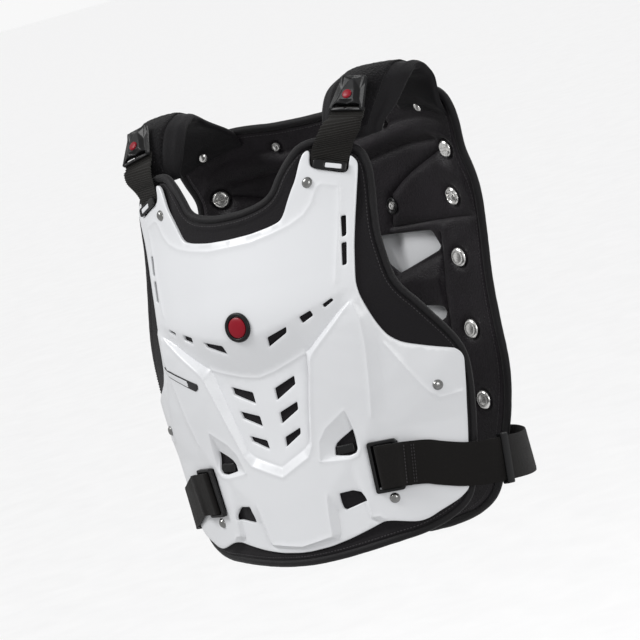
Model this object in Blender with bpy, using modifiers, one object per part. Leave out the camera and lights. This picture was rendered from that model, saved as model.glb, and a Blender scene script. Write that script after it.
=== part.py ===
# Motocross chest protector, in metres, +Z up, the front facing -Y.
# The wearer's left is +X. The origin sits between the undersides of the two
# shoulder pads, where a pair of shoulders or a hanger would carry the piece.
import bpy
import math
from mathutils import Vector
from mathutils.bvhtree import BVHTree
from mathutils.geometry import barycentric_transform, delaunay_2d_cdt

for old in list(bpy.data.objects):
    bpy.data.objects.remove(old, do_unlink=True)

# The torso form. Every table below holds shares of these named sizes:
# x as a share of HALF, y of DEEP, z of TALL, relief of RELIEF.
HALF = 0.200
TALL = 0.400
DEEP = 0.250
RELIEF = 0.010
# The badge sits this far below and in front of the shoulder rest.
BADGE_Z = -0.4875 * TALL
FRONT_Y = -0.60 * DEEP
# Radii of the front wrap and of the flatter back.
FRONT_RADIUS = 1.275 * HALF
BACK_RADIUS = 1.91 * HALF

# Wall thicknesses and clearances.
PLATE_WALL = 0.003
GAP = 0.0003
FRONT_PAD = 0.009
BACK_PAD = 0.008
TAPE_RADIUS = 0.0042
PATCH_WALL = 0.0013
PAD_WALL = 0.011
WEB_WALL = 0.0020
STRAP_WIDTH = 0.044
HALF_STRAP = 0.5 * STRAP_WIDTH
STRAP_WALL = 0.0016
RIVET_RADIUS = 0.0053
RIVET_HEIGHT = 0.0030
BADGE_RADIUS = 0.0150
BADGE_DISC = 0.0105
LABEL_WALL = 0.0007

# Grid steps of the faceted sheets.
PLATE_STEP = 0.028
LINER_STEP = 0.040

# Centre line of the front form: height from the badge, depth behind it.
FRONT_LINE = (
    (-0.80, 0.014),
    (-0.475, 0.012),
    (-0.325, 0.014),
    (-0.1925, 0.006),
    (0.0, 0.004),
    (0.10, 0.042),
    (0.2325, 0.108),
    (0.305, 0.136),
    (0.38, 0.176),
    (0.50, 0.256),
)
# Centre line of the back form: height from the badge, depth behind it.
BACK_LINE = (
    (-0.80, 0.916),
    (-0.375, 0.952),
    (-0.125, 1.0),
    (0.075, 1.032),
    (0.2675, 1.044),
    (0.3975, 1.008),
    (0.4275, 0.988),
    (0.50, 0.94),
)

# Outlines of the right half, from the top of the centre line to its foot.
# Columns: x, height from the badge.
PLATE_EDGE = (
    (0, .215), (.135, .2165), (.195, .22), (.25, .2235), (.305, .23), (.33, .245),
    (.355, .27), (.385, .2975), (.41, .3175), (.435, .3525), (.4525, .372),
    (.47, .3795), (.488, .3805), (.4925, .3725), (.487, .3575), (.49, .3425),
    (.505, .335), (.64, .305), (.66, .3087), (.665, .32), (.674, .34), (.68, .3412),
    (.6975, .329), (.705, .3175), (.6975, .29), (.68, .245), (.665, .1975),
    (.65, .14), (.64, .0825), (.635, .046), (.6375, .029), (.643, .009),
    (.657, -.0215), (.6775, -.061), (.70, -.0925), (.7185, -.11), (.752, -.129),
    (.7875, -.141), (.858, -.161), (.925, -.1795), (.942, -.1845), (.9585, -.1975),
    (.9635, -.2125), (.96, -.225), (.945, -.27), (.928, -.319), (.913, -.3675),
    (.895, -.42), (.855, -.529), (.842, -.5375), (.8085, -.55), (.765, -.5585),
    (.72, -.566), (.67, -.5765), (.625, -.5785), (.5825, -.573), (.505, -.56),
    (.4715, -.558), (.445, -.5615), (.39, -.5695), (.277, -.584), (.1585, -.595),
    (.035, -.60), (0, -.60),
)
LINER_EDGE = (
    (0, .28), (.07, .28), (.135, .2838), (.195, .29), (.24, .2988), (.2725, .3137),
    (.3, .3387), (.3475, .37), (.4025, .3975), (.44, .4075), (.485, .4113),
    (.54, .41), (.61, .395), (.68, .3775), (.72, .3625), (.745, .3425),
    (.7625, .3075), (.7625, .2625), (.7575, .2), (.76, .15), (.775, .1),
    (.7975, .0375), (.825, 0), (.87, -.04), (.905, -.08), (.94, -.12),
    (.97, -.1625), (.985, -.2), (.985, -.2375), (.975, -.2875), (.9575, -.35),
    (.9375, -.4125), (.91, -.48), (.8825, -.535), (.85, -.5675), (.79, -.59),
    (.715, -.605), (.625, -.615), (.525, -.6188), (.44, -.6225), (.335, -.6275),
    (.225, -.6325), (.105, -.6362), (0, -.6375),
)
BACK_EDGE = (
    (0, .4275), (.14, .4267), (.32, .4308), (.43, .44), (.52, .445), (.7, .445),
    (.84, .43), (.885, .4), (.895, .365), (.885, .325), (.8675, .29), (.862, .265),
    (.87, .24), (.8875, .21), (.9, .1725), (.8975, .125), (.88, .0725),
    (.8525, -.005), (.835, -.055), (.825, -.1075), (.8225, -.16), (.8225, -.2125),
    (.8275, -.2575), (.825, -.295), (.81, -.3425), (.785, -.3825), (.745, -.435),
    (.7, -.48), (.655, -.525), (.605, -.575), (.55, -.6225), (.5, -.6525),
    (.44, -.675), (.36, -.695), (.27, -.71), (.14, -.7238), (0, -.73),
)
BACK_PLATE_EDGE = (
    (0, .36), (.30, .362), (.52, .36), (.72, .345), (.79, .315), (.79, .26),
    (.81, .19), (.815, .12), (.775, 0), (.75, -.10), (.745, -.20), (.745, -.28),
    (.70, -.38), (.60, -.50), (.47, -.60), (.30, -.645), (0, -.66),
)

# Cut-outs of the right half of the plate. Columns: x, height from the badge.
PLATE_CUTS = {
    "chest_slot_inner": ((.141, -.040), (.264, -.023), (.2545, -.038), (.132, -.065)),
    "chest_slot_middle": ((.34, -.007), (.405, .003), (.4125, -.011), (.35, -.024)),
    "chest_slot_outer": ((.4665, .010), (.515, .020), (.525, .014), (.475, .001)),
    "vent_top": ((.0705, -.1745), (.208, -.152), (.2025, -.173), (.068, -.205)),
    "vent_middle": ((.0635, -.2375), (.187, -.217), (.1805, -.237), (.0605, -.266)),
    "vent_bottom": ((.056, -.301), (.1635, -.283), (.1565, -.2985), (.052, -.325)),
    "arm_slot_top": ((.601, .206), (.625, .205), (.618, .158), (.597, .156)),
    "arm_slot_bottom": ((.592, .143), (.616, .142), (.606, .09), (.585, .089)),
    "window_top": (
        (.435, -.314), (.4375, -.3625), (.425, -.3725), (.39, -.376),
        (.3125, -.369), (.319, -.3525), (.333, -.341), (.3645, -.3315),
    ),
    "window_bottom": (
        (.283, -.464), (.355, -.4635), (.3915, -.472), (.409, -.4855),
        (.4135, -.4975), (.2925, -.51), (.28, -.5055), (.2775, -.4925),
    ),
    "buckle_window": ((.487, -.357), (.622, -.366), (.612, -.481), (.477, -.472)),
}
# Creases of the plate. Columns: x, height from the badge, relief outward.
PLATE_CREASES = {
    "chest_foot": (
        (0, -.030, 0), (.155, -.020, 0), (.27, -.010, 0), (.355, .0025, 0),
        (.595, .035, 0), (.70, .045, 0),
    ),
    "lip": ((0, -.14, -1.2), (.108, -.131, -1.15), (.235, -.1125, -1.05), (.3125, -.10, -1.0)),
    "recess_low": (
        (0, -.3725, -.35), (.16, -.3375, -.45), (.195, -.325, -.5), (.2275, -.265, -.65),
        (.255, -.215, -.8), (.2925, -.1525, -1.0), (.3125, -.10, -1.0), (.34, -.093, -.9),
        (.395, -.071, -.7), (.46, -.046, -.55), (.525, -.019, -.4), (.597, .003, -.05),
    ),
    "recess_high": (
        (0, -.3975, 0), (.18, -.3575, 0), (.214, -.33, 0), (.2515, -.265, 0),
        (.279, -.215, 0), (.317, -.153, 0), (.3385, -.117, 0), (.3645, -.099, 0),
        (.4175, -.077, 0), (.479, -.0515, 0), (.541, -.024, 0), (.597, .003, -.05),
    ),
    "side_ridge": (
        (.6025, -.005, .1), (.6185, -.046, .25), (.613, -.1025, .25), (.598, -.1525, .25),
        (.5725, -.2265, .25), (.545, -.29, .15),
    ),
    "wing_ridge": (
        (.685, -.119, .1), (.73, -.1785, .25), (.78, -.243, .25), (.8075, -.272, .25),
        (.838, -.291, .15), (.932, -.293, .1),
    ),
    "flank": ((.66, -.03, 0), (.665, -.10, 0), (.65, -.16, 0), (.63, -.235, 0), (.60, -.30, 0)),
    "wing_foot": (
        (.72, -.09, 0), (.80, -.13, 0), (.95, -.17, 0), (.99, -.21, 0), (.97, -.31, 0),
        (.90, -.35, 0), (.78, -.345, 0), (.62, -.33, 0),
    ),
    "scoop_top_high": (
        (.4325, -.2625, 0), (.447, -.3145, 0), (.450, -.364, 0), (.43, -.381, 0),
        (.39, -.3845, 0), (.235, -.375, 0),
    ),
    "scoop_top_low": (
        (.43, -.3135, -.6), (.3645, -.3315, -.55), (.333, -.341, -.5),
        (.319, -.3525, -.5), (.3125, -.369, -.4),
    ),
    "scoop_top_start": ((.425, -.26, 0), (.31, -.295, 0), (.26, -.325, 0), (.235, -.375, 0)),
    "keel_high": ((.22, -.465, 0), (.20, -.52, 0), (.19, -.5675, 0), (0, -.581, 0)),
    "keel_low": ((.2475, -.508, -.4), (.228, -.566, -.4), (.20, -.578, -.4), (0, -.5905, -.4)),
    "scoop_foot_high": ((.4135, -.4975, 0), (.418, -.54, 0), (.455, -.541, 0), (.47, -.55, 0)),
    "scoop_foot_low": ((.2925, -.51, -.4), (.395, -.503, -.4), (.40, -.545, -.4), (.44, -.56, -.4)),
}
# Windows of the back liner and its moulded ridges; relief toward the body.
BACK_WINDOWS = {
    "window_high": ((.06, .075), (.465, .064), (.512, .02), (.49, .01), (.17, -.035), (.11, -.005)),
    "window_low": ((.15, -.12), (.4, -.1345), (.455, -.1425), (.444, -.1638), (.3, -.195), (.17, -.175)),
}
BACK_CREASES = {
    "roll_crest": (
        (0, .295, .5), (.2175, .316, .5), (.3335, .326, .5), (.454, .336, .5),
        (.5715, .339, .5), (.648, .3365, .5), (.7515, .3195, .5), (.84, .2725, .3),
    ),
    "roll_top": ((0, .325, 0), (.2175, .346, 0), (.454, .366, 0), (.648, .366, 0), (.78, .345, 0)),
    "roll_foot": ((0, .265, 0), (.232, .285, 0), (.422, .298, 0), (.6625, .298, 0)),
    "yoke": (
        (.205, .0965, 0), (.25, .175, 0), (.34, .2035, 0), (.428, .2245, 0),
        (.559, .2482, 0), (.665, .266, 0),
    ),
    "yoke_crest": ((.26, .11, .4), (.29, .166, .4), (.44, .212, .4), (.65, .234, .4), (.82, .19, .4)),
    "screw_seat": (
        (.68, .268, 0), (.71, .291, 0), (.76, .291, 0), (.79, .268, 0),
        (.76, .244, 0), (.71, .244, 0), (.68, .268, 0),
    ),
    "yoke_seam": ((.205, .0885, -.1), (.48, .0885, -.1), (.635, .0883, -.1), (.85, .087, -.1)),
    "rail": (
        (.5335, .0535, 0), (.515, 0, 0), (.495, -.0565, 0), (.465, -.1645, 0), (.44, -.30, 0),
        (.40, -.48, 0),
    ),
    "rail_crest": (
        (.575, .06, .35), (.555, 0, .35), (.535, -.0565, .35), (.505, -.1645, .35),
        (.48, -.30, .35), (.44, -.47, .35),
    ),
    "bar_crest": ((.06, -.06, .5), (.23, -.058, .5), (.48, -.066, .5)),
    "bar_top": ((.06, -.03, 0), (.17, -.040, 0), (.49, -.002, 0)),
    "bar_foot": ((.06, -.10, 0), (.15, -.115, 0), (.40, -.128, 0)),
    "lumbar_crest": ((0, -.28, .4), (.20, -.28, .4), (.36, -.30, .4)),
    "lumbar_top": ((0, -.235, 0), (.20, -.235, 0), (.40, -.245, 0)),
    "lumbar_foot": ((0, -.33, 0), (.20, -.33, 0), (.38, -.35, 0)),
}
# The hard back shell: a raised spine and a crease out to each shoulder.
BACK_PLATE_CREASES = {
    "spine_high": ((.11, .34, 1.0), (.16, .10, 1.0), (.13, -.25, 1.0), (.08, -.52, 1.0), (0, -.56, 1.0)),
    "spine_low": ((.17, .36, 0), (.235, .10, 0), (.205, -.25, 0), (.15, -.53, 0), (0, -.60, 0)),
    "spine_top": ((0, .34, 1.0), (.11, .34, 1.0)),
    "blade": ((.26, .28, .3), (.48, .18, .6), (.60, 0, .6), (.56, -.22, .3)),
}

# Fasteners of the back liner. Columns: x, height from the badge, radius in metres.
BACK_SCREWS = (
    (.735, .268, .0090),
    (.70, .144, .0098),
    (.25, .146, .0047),
    (.645, -.015, .0100),
    (.625, -.203, .0100),
    (.61, -.39, .0100),
    (.345, .37, .0047),
)
PAD_SCREW_RADIUS = 0.0047
# Dome rivets of the plate. Columns: x, height from the badge.
PLATE_RIVETS = {"shoulder_rivet": (.469, .305), "side_rivet": (.843, -.259)}
LABEL_EDGE = ((.655, -.0755), (.391, -.128), (.395, -.140), (.418, -.1465), (.651, -.095))

# Shoulder pad from the front end over the shoulder to the back.
# Columns of each station: x, y, height of the neck edge, middle and arm edge.
PAD = (
    ((.485, .411, .375), (.635, .381, .370), (.785, .433, .375)),
    ((.475, .407, .398), (.640, .377, .400), (.810, .459, .402)),
    ((.460, .427, .429), (.650, .391, .437), (.840, .516, .428)),
    ((.455, .463, .467), (.665, .427, .472), (.868, .580, .464)),
    ((.460, .518, .503), (.675, .478, .508), (.892, .628, .495)),
    ((.475, .588, .521), (.680, .554, .528), (.898, .680, .514)),
    ((.495, .648, .527), (.690, .624, .534), (.904, .724, .514)),
    ((.520, .712, .516), (.700, .700, .523), (.907, .760, .498)),
    ((.530, .786, .492), (.705, .780, .494), (.905, .796, .465)),
)
# Its tail, flat against the inner face of the back.
# Columns: x and height of the neck edge, middle and arm edge, clearance.
PAD_TAIL = (
    (.525, .453, .710, .440, .895, .407, .0018),
    (.515, .422, .710, .405, .885, .373, .0007),
    (.515, .396, .710, .381, .875, .354, .0007),
)
EDGE_LIFT = 0.0010

# Shoulder webbing from under the buckle down to the notch of the plate.
# Columns: x, y, height of the inner edge and of the outer edge, layers.
WEBBING = (
    ((.550, .324, .425), (.760, .358, .417), 2.0),
    ((.525, .286, .400), (.745, .342, .395), 1.6),
    ((.503, .262, .378), (.700, .330, .370), 1.0),
)
# Its lower end, tucked behind the plate below the notch.
# Columns: x and height of the inner edge, of the outer edge, depth in metres.
WEB_TUCK = (
    (.4985, .357, .683, .352, .0003),
    (.500, .345, .664, .333, .0008),
    (.512, .3395, .655, .3105, PLATE_WALL + GAP),
    (.515, .320, .650, .295, PLATE_WALL + GAP),
    (.518, .290, .645, .278, PLATE_WALL + GAP),
)
# Side elastic over the plate, from the front buckle outward.
# Columns: x, height of its middle, clearance over the plate.
LOOP_WALL = 0.0049
LOOP_HALF = (0.0150, HALF_STRAP + 0.0042)
LOOP_HOLE = (0.0112, HALF_STRAP + 0.0008)
STRAP_FORE = (
    (.5090, -.4197, LOOP_WALL + .0004),
    (.5920, -.4227, LOOP_WALL + .0003),
    (.6374, -.4252, LOOP_WALL + .0019),
    (.7191, -.4361, .0022),
    (.7754, -.4500, .0017),
    (.8554, -.4690, .0014),
    (.9260, -.4805, .0006),
)
# Its way round the side to the back. Columns: x, y, height of its middle.
STRAP = (
    (.978, .395, -.4875),
    (.984, .452, -.4940),
    (.980, .515, -.5010),
    (.966, .580, -.5080),
    (.943, .645, -.5140),
    (.908, .712, -.5190),
    (.858, .778, -.5230),
    (.790, .843, -.5260),
    (.705, .897, -.5270),
)
# The lower rivet clears the foot of the side buckle.
RIVET_CLEAR = 0.0026
PLATE_RIVETS["lower_rivet"] = (
    .545, STRAP_FORE[0][1] - (LOOP_HALF[1] + RIVET_RADIUS + RIVET_CLEAR) / TALL,
)
# The strap's sewn end on the back shell. Columns: x, height of its middle, clearance.
STRAP_END = ((.560, -.5240, .0024), (.480, -.5210, .0006), (.420, -.5180, GAP))


def materials(name, colour, rough, metal=0.0):
    made = bpy.data.materials.new(name)
    made.use_nodes = True
    shader = made.node_tree.nodes["Principled BSDF"]
    shader.inputs["Base Color"].default_value = (*colour, 1.0)
    shader.inputs["Roughness"].default_value = rough
    shader.inputs["Metallic"].default_value = metal
    return made


WHITE = materials("white_plastic", (0.80, 0.81, 0.83), 0.35)
BACK_WHITE = materials("back_plastic", (0.80, 0.81, 0.83), 0.40)
LINER = materials("liner_foam", (0.020, 0.018, 0.022), 0.75)
BACK_LINER = materials("back_foam", (0.024, 0.021, 0.026), 0.75)
TAPE = materials("binding_tape", (0.028, 0.026, 0.030), 0.80)
PAD_CLOTH = materials("pad_cloth", (0.026, 0.024, 0.028), 0.80)
LOOPS = materials("hook_loop", (0.030, 0.028, 0.030), 0.95)
WEB_CLOTH = materials("webbing", (0.022, 0.020, 0.020), 0.85)
ELASTIC = materials("elastic", (0.020, 0.018, 0.020), 0.80)
MOULDED = materials("black_plastic", (0.030, 0.030, 0.034), 0.40)
RED = materials("red_disc", (0.55, 0.01, 0.04), 0.35)
NICKEL = materials("nickel", (0.75, 0.74, 0.70), 0.20, 1.0)
STICKER = materials("sticker", (0.02, 0.02, 0.025), 0.30)

protector = bpy.data.collections.new("chest_protector")
bpy.context.scene.collection.children.link(protector)


def keep(name, data, colour):
    made = bpy.data.objects.new(name, data)
    data.materials.append(colour)
    protector.objects.link(made)
    return made


def smooth(table, where):
    # A cubic through the rows, level with its neighbours' mean slope.
    rows = len(table)
    low = 0
    while low < rows - 2 and where > table[low + 1][0]:
        low += 1
    (x0, y0), (x1, y1) = table[low], table[low + 1]
    before = table[max(low - 1, 0)]
    after = table[min(low + 2, rows - 1)]
    slope0 = (y1 - before[1]) / (x1 - before[0])
    slope1 = (after[1] - y0) / (after[0] - x0)
    span = x1 - x0
    t = min(max((where - x0) / span, 0.0), 1.0)
    lead = (1 + 2 * t) * (1 - t) ** 2 * y0 + t * t * (3 - 2 * t) * y1
    bend = t * (1 - t) ** 2 * slope0 - t * t * (1 - t) * slope1
    return lead + bend * span


def front_at(s, z, out=0.0):
    # s runs round the front form from its centre line; out is toward the front.
    share = (z - BADGE_Z) / TALL
    turn = s / FRONT_RADIUS
    lean = DEEP / TALL * (smooth(FRONT_LINE, share + 0.01) - smooth(FRONT_LINE, share - 0.01)) / 0.02
    y = FRONT_Y + DEEP * smooth(FRONT_LINE, share) + FRONT_RADIUS * (1 - math.cos(turn))
    normal = Vector((math.sin(turn), -math.cos(turn), lean * math.cos(turn))).normalized()
    return Vector((FRONT_RADIUS * math.sin(turn), y, z)) + normal * out


def back_at(s, z, out=0.0):
    # s runs round the back form; out is away from the body.
    share = (z - BADGE_Z) / TALL
    turn = s / BACK_RADIUS
    lean = DEEP / TALL * (smooth(BACK_LINE, share + 0.01) - smooth(BACK_LINE, share - 0.01)) / 0.02
    y = FRONT_Y + DEEP * smooth(BACK_LINE, share) - BACK_RADIUS * (1 - math.cos(turn))
    normal = Vector((math.sin(turn), math.cos(turn), -lean * math.cos(turn))).normalized()
    return Vector((BACK_RADIUS * math.sin(turn), y, z)) + normal * out


def unroll(table, radius):
    # From shares of the sizes to distance round the form and height.
    flat = []
    for row in table:
        s = radius * math.asin(row[0] * HALF / radius)
        flat.append((s, BADGE_Z + row[1] * TALL) + tuple(row[2:]))
    return flat


def inset(edge, width):
    # Moves an open half outline inward; its ends stay on the centre line.
    moved = []
    last = len(edge) - 1
    for n, (s, z) in enumerate(edge):
        before = edge[n - 1] if n else (-edge[1][0], edge[1][1])
        after = edge[n + 1] if n < last else (-edge[n - 1][0], edge[n - 1][1])
        first = Vector((s - before[0], z - before[1])).normalized()
        second = Vector((after[0] - s, after[1] - z)).normalized()
        along = (first + second).normalized()
        stretch = 1.0 / max(along.dot(second), 0.6)
        moved.append((s + along.y * width * stretch, z - along.x * width * stretch))
    moved[0] = (0.0, moved[0][1])
    moved[last] = (0.0, moved[last][1])
    return moved


def inside(point, loop):
    hit = False
    for n in range(len(loop)):
        (x0, y0), (x1, y1) = loop[n - 1][:2], loop[n][:2]
        if (y0 > point[1]) != (y1 > point[1]):
            if point[0] < x0 + (x1 - x0) * (point[1] - y0) / (y1 - y0):
                hit = not hit
    return hit


def distance(point, start, end):
    run = Vector(end[:2]) - Vector(start[:2])
    here = Vector(point) - Vector(start[:2])
    t = min(max(here.dot(run) / max(run.length_squared, 1e-12), 0.0), 1.0)
    return (here - run * t).length


def triangulate(points, edges):
    found = delaunay_2d_cdt([Vector(p[:2]) for p in points], edges, [], 0, 1e-6)
    return [tuple(v) for v in found[0]], [tuple(f) for f in found[2]]


def relief_tree(creases, radius):
    # A surface over the unrolled form whose height is the relief in metres.
    points = []
    edges = []
    for line in creases.values():
        rows = unroll(line, radius)
        for n, row in enumerate(rows):
            points.append(row)
            if n:
                edges.append((len(points) - 2, len(points) - 1))
    frame = ((0, 1.2), (2, 1.2), (2, -1.2), (0, -1.2))
    base = len(points)
    for n, (x, z) in enumerate(frame):
        points.append((x * HALF, BADGE_Z + z * TALL, 0))
        edges.append((base + n, base + (n + 1) % 4))
    flat, faces = triangulate(points, edges)
    raised = []
    for s, z in flat:
        near = min(points, key=lambda p: (p[0] - s) ** 2 + (p[1] - z) ** 2)
        raised.append(Vector((s, z, near[2] * RELIEF)))
    return BVHTree.FromPolygons(raised, faces)


def relief(tree, s, z):
    hit = tree.ray_cast(Vector((max(abs(s), 1e-5), z, 1.0)), Vector((0, 0, -1)))
    return hit[0].z if hit[0] else 0.0


def net(edge, lines, step):
    # Triangles of the right half inside the edge, with every line kept as edges.
    points = list(edge)
    edges = [(n, n + 1) for n in range(len(edge) - 1)]
    top, foot = edge[0][1], edge[-1][1]
    count = max(2, round((top - foot) / step))
    base = len(points)
    for n in range(1, count):
        points.append((0.0, foot + (top - foot) * n / count))
    chain = [len(edge) - 1] + list(range(base, base + count - 1)) + [0]
    edges += list(zip(chain, chain[1:]))
    for line in lines:
        base = len(points)
        points += [row[:2] for row in line]
        edges += [(base + n, base + n + 1) for n in range(len(line) - 1)]
    walls = [(points[a], points[b]) for a, b in edges]
    wide = max(p[0] for p in edge)
    row = 0
    z = foot + step * 0.5
    while z < top:
        s = step * (0.5 if row % 2 else 1.0)
        while s < wide:
            if inside((s, z), edge):
                if min(distance((s, z), a, b) for a, b in walls) > step * 0.42:
                    points.append((s, z))
            s += step
        z += step * 0.87
        row += 1
    return choose(*triangulate(points, edges), edge, [])


def choose(flat, faces, loop, cuts):
    # The triangles inside the loop and outside every cut.
    kept = []
    for face in faces:
        mid = (sum(flat[n][0] for n in face) / 3, sum(flat[n][1] for n in face) / 3)
        if inside(mid, loop) and not any(inside(mid, cut) for cut in cuts):
            kept.append(face)
    used = sorted({n for face in kept for n in face})
    place = {old: new for new, old in enumerate(used)}
    return [flat[n] for n in used], [tuple(place[n] for n in face) for face in kept]


def closed(loop):
    return list(loop) + [loop[0]]


def on_facets(flat, faces, surface):
    # The faceted form of a surface, so that small parts sit flush on its triangles.
    corners = [Vector((s, z, 0)) for s, z in flat]
    placed = [surface(s, z) for s, z in flat]
    tree = BVHTree.FromPolygons(corners, faces)

    def at(s, z, out=0.0):
        number = tree.find_nearest(Vector((s, z, 0)))[2]
        a, b, c = faces[number]
        spot = barycentric_transform(
            Vector((s, z, 0)), corners[a], corners[b], corners[c], placed[a], placed[b], placed[c],
        )
        return spot + surface(s, z, out) - surface(s, z)

    return at


def sheet(name, flat, faces, fore, rear, colour, halves=True):
    # A closed shell between two surfaces; fore is the one that faces -Y.
    size = len(flat)
    verts = [fore(s, z) for s, z in flat] + [rear(s, z) for s, z in flat]
    built = list(faces) + [tuple(n + size for n in reversed(face)) for face in faces]
    sides = {}
    for face in faces:
        for n in range(3):
            a, b = face[n - 1], face[n]
            sides[(a, b)] = sides.get((a, b), 0) + 1
    for a, b in sides:
        on_centre = halves and flat[a][0] < 1e-6 and flat[b][0] < 1e-6
        if (b, a) not in sides and not on_centre:
            built.append((b, a, a + size, b + size))
    mesh = bpy.data.meshes.new(name)
    mesh.from_pydata(verts, [], built)
    made = keep(name, mesh, colour)
    if halves:
        mirror = made.modifiers.new("both_halves", "MIRROR")
        mirror.use_axis = (True, False, False)
        mirror.use_clip = True
        mirror.merge_threshold = 0.0001
    return made


def twin(made, name):
    # The same solid for the other side of the body, mirrored in x.
    data = made.data.copy()
    for vert in data.vertices:
        vert.co.x = -vert.co.x
    data.flip_normals()
    data.name = name
    other = bpy.data.objects.new(name, data)
    protector.objects.link(other)
    return other


def flipped(made):
    # Moves a one-sided solid to the wearer's right.
    for vert in made.data.vertices:
        vert.co.x = -vert.co.x
    made.data.flip_normals()


def solid(name, verts, faces, colour):
    mesh = bpy.data.meshes.new(name)
    mesh.from_pydata([tuple(v) for v in verts], [], faces)
    return keep(name, mesh, colour)


def flat_seat(surface, spot, reach):
    # A flat seat square to the surface that clears its highest facet within reach.
    s0, z0 = spot
    centre = surface(s0, z0, 0.0)
    out = (surface(s0, z0, reach) - centre).normalized()
    across = surface(s0 + reach, z0, 0.0) - surface(s0 - reach, z0, 0.0)
    across = (across - out * across.dot(out)).normalized()
    up = out.cross(across)
    high = 0.0
    for share in (0.5, 1.0):
        for n in range(16):
            turn = 2 * math.pi * n / 16
            near = surface(s0 + share * reach * math.cos(turn), z0 + share * reach * math.sin(turn), 0.0)
            high = max(high, (near - centre).dot(out))
    return lambda u, v, height: centre + across * (u - s0) + up * (v - z0) + out * (high + height)


def boss(name, surface, spot, profile, sides, colour):
    # Turns a profile of (radius, height) about a spot of a surface.
    s0, z0 = spot
    surface = flat_seat(surface, spot, max(row[0] for row in profile))
    verts = [surface(s0, z0, profile[0][1])]
    for radius, height in profile[1:-1]:
        for n in range(sides):
            turn = 2 * math.pi * n / sides
            verts.append(surface(s0 + radius * math.cos(turn), z0 + radius * math.sin(turn), height))
    verts.append(surface(s0, z0, profile[-1][1]))
    rings = len(profile) - 2
    faces = []
    for n in range(sides):
        m = (n + 1) % sides
        faces.append((0, 1 + n, 1 + m))
        for ring in range(rings - 1):
            a = 1 + ring * sides
            faces.append((a + n, a + sides + n, a + sides + m, a + m))
        a = 1 + (rings - 1) * sides
        faces.append((len(verts) - 1, a + m, a + n))
    return solid(name, verts, faces, colour)


def ring_boss(name, surface, spot, profile, sides, colour):
    # As boss, with a profile that closes on itself round a hole.
    s0, z0 = spot
    surface = flat_seat(surface, spot, max(row[0] for row in profile))
    verts = []
    for radius, height in profile:
        for n in range(sides):
            turn = 2 * math.pi * n / sides
            verts.append(surface(s0 + radius * math.cos(turn), z0 + radius * math.sin(turn), height))
    faces = []
    rings = len(profile)
    for ring in range(rings):
        a, b = ring * sides, (ring + 1) % rings * sides
        for n in range(sides):
            m = (n + 1) % sides
            faces.append((a + n, a + m, b + m, b + n))
    return solid(name, verts, faces, colour)


def loft(name, rings, colour):
    # A closed tube of equal rings with flat ends.
    size = len(rings[0])
    verts = [v for ring in rings for v in ring]
    faces = [tuple(reversed(range(size)))]
    for k in range(len(rings) - 1):
        a, b = k * size, (k + 1) * size
        for n in range(size):
            m = (n + 1) % size
            if (verts[a + n] - verts[b + m]).length < (verts[a + m] - verts[b + n]).length:
                faces += [(a + n, a + m, b + m), (a + n, b + m, b + n)]
            else:
                faces += [(a + n, a + m, b + n), (a + m, b + m, b + n)]
    last = (len(rings) - 1) * size
    faces.append(tuple(range(last, last + size)))
    return solid(name, verts, faces, colour)


def tape(name, points, colour):
    curve = bpy.data.curves.new(name, "CURVE")
    curve.dimensions = "3D"
    curve.bevel_depth = TAPE_RADIUS
    curve.bevel_resolution = 1
    curve.resolution_u = 1
    curve.render_resolution_u = 0
    spline = curve.splines.new("POLY")
    spline.points.add(len(points) - 1)
    for n, p in enumerate(points):
        spline.points[n].co = (*p, 1.0)
    spline.use_cyclic_u = True
    return keep(name, curve, colour)


def both_sides(half):
    # A closed loop from a half outline whose ends lie on the centre line.
    return half + [(-s, z) for s, z in reversed(half[1:-1])]


# The white front plate and the padded liner behind it share one net of
# triangles, so the liner follows every dent of the plate at one clearance.
plate_tree = relief_tree(PLATE_CREASES, FRONT_RADIUS)
plate_edge = unroll(PLATE_EDGE, FRONT_RADIUS)
plate_cuts = [unroll(cut, FRONT_RADIUS) for cut in PLATE_CUTS.values()]
plate_lines = [unroll(line, FRONT_RADIUS) for line in PLATE_CREASES.values()]
liner_whole = unroll(LINER_EDGE, FRONT_RADIUS)
liner_edge = inset(liner_whole, 2 * TAPE_RADIUS + GAP)


def plate_face(s, z, out=0.0):
    return front_at(s, z, relief(plate_tree, s, z) + out)


# The liner lies deeper round the shoulder notch, where the webbing passes
# between the two, and behind the window that takes the side buckle.
NOTCH = unroll(((.585, .35),), FRONT_RADIUS)[0]
NOTCH_REACH = 0.024
NOTCH_DEPTH = 0.0045
LOOP_SPOT = unroll(((.55, -.42),), FRONT_RADIUS)[0]
LOOP_REACH = 0.022
LOOP_DEPTH = 0.0030


def liner_fore(s, z, out=0.0):
    notch = min(max(2 - math.hypot(s - NOTCH[0], (z - NOTCH[1]) * 0.6) / NOTCH_REACH, 0.0), 1.0)
    loop = min(max(2 - math.hypot(s - LOOP_SPOT[0], (z - LOOP_SPOT[1]) * 0.6) / LOOP_REACH, 0.0), 1.0)
    return plate_face(s, z, out - PLATE_WALL - GAP - notch * NOTCH_DEPTH - loop * LOOP_DEPTH)


label = unroll(LABEL_EDGE, FRONT_RADIUS)
both = [liner_edge] + plate_lines + [closed(cut) for cut in plate_cuts + [label]]

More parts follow.
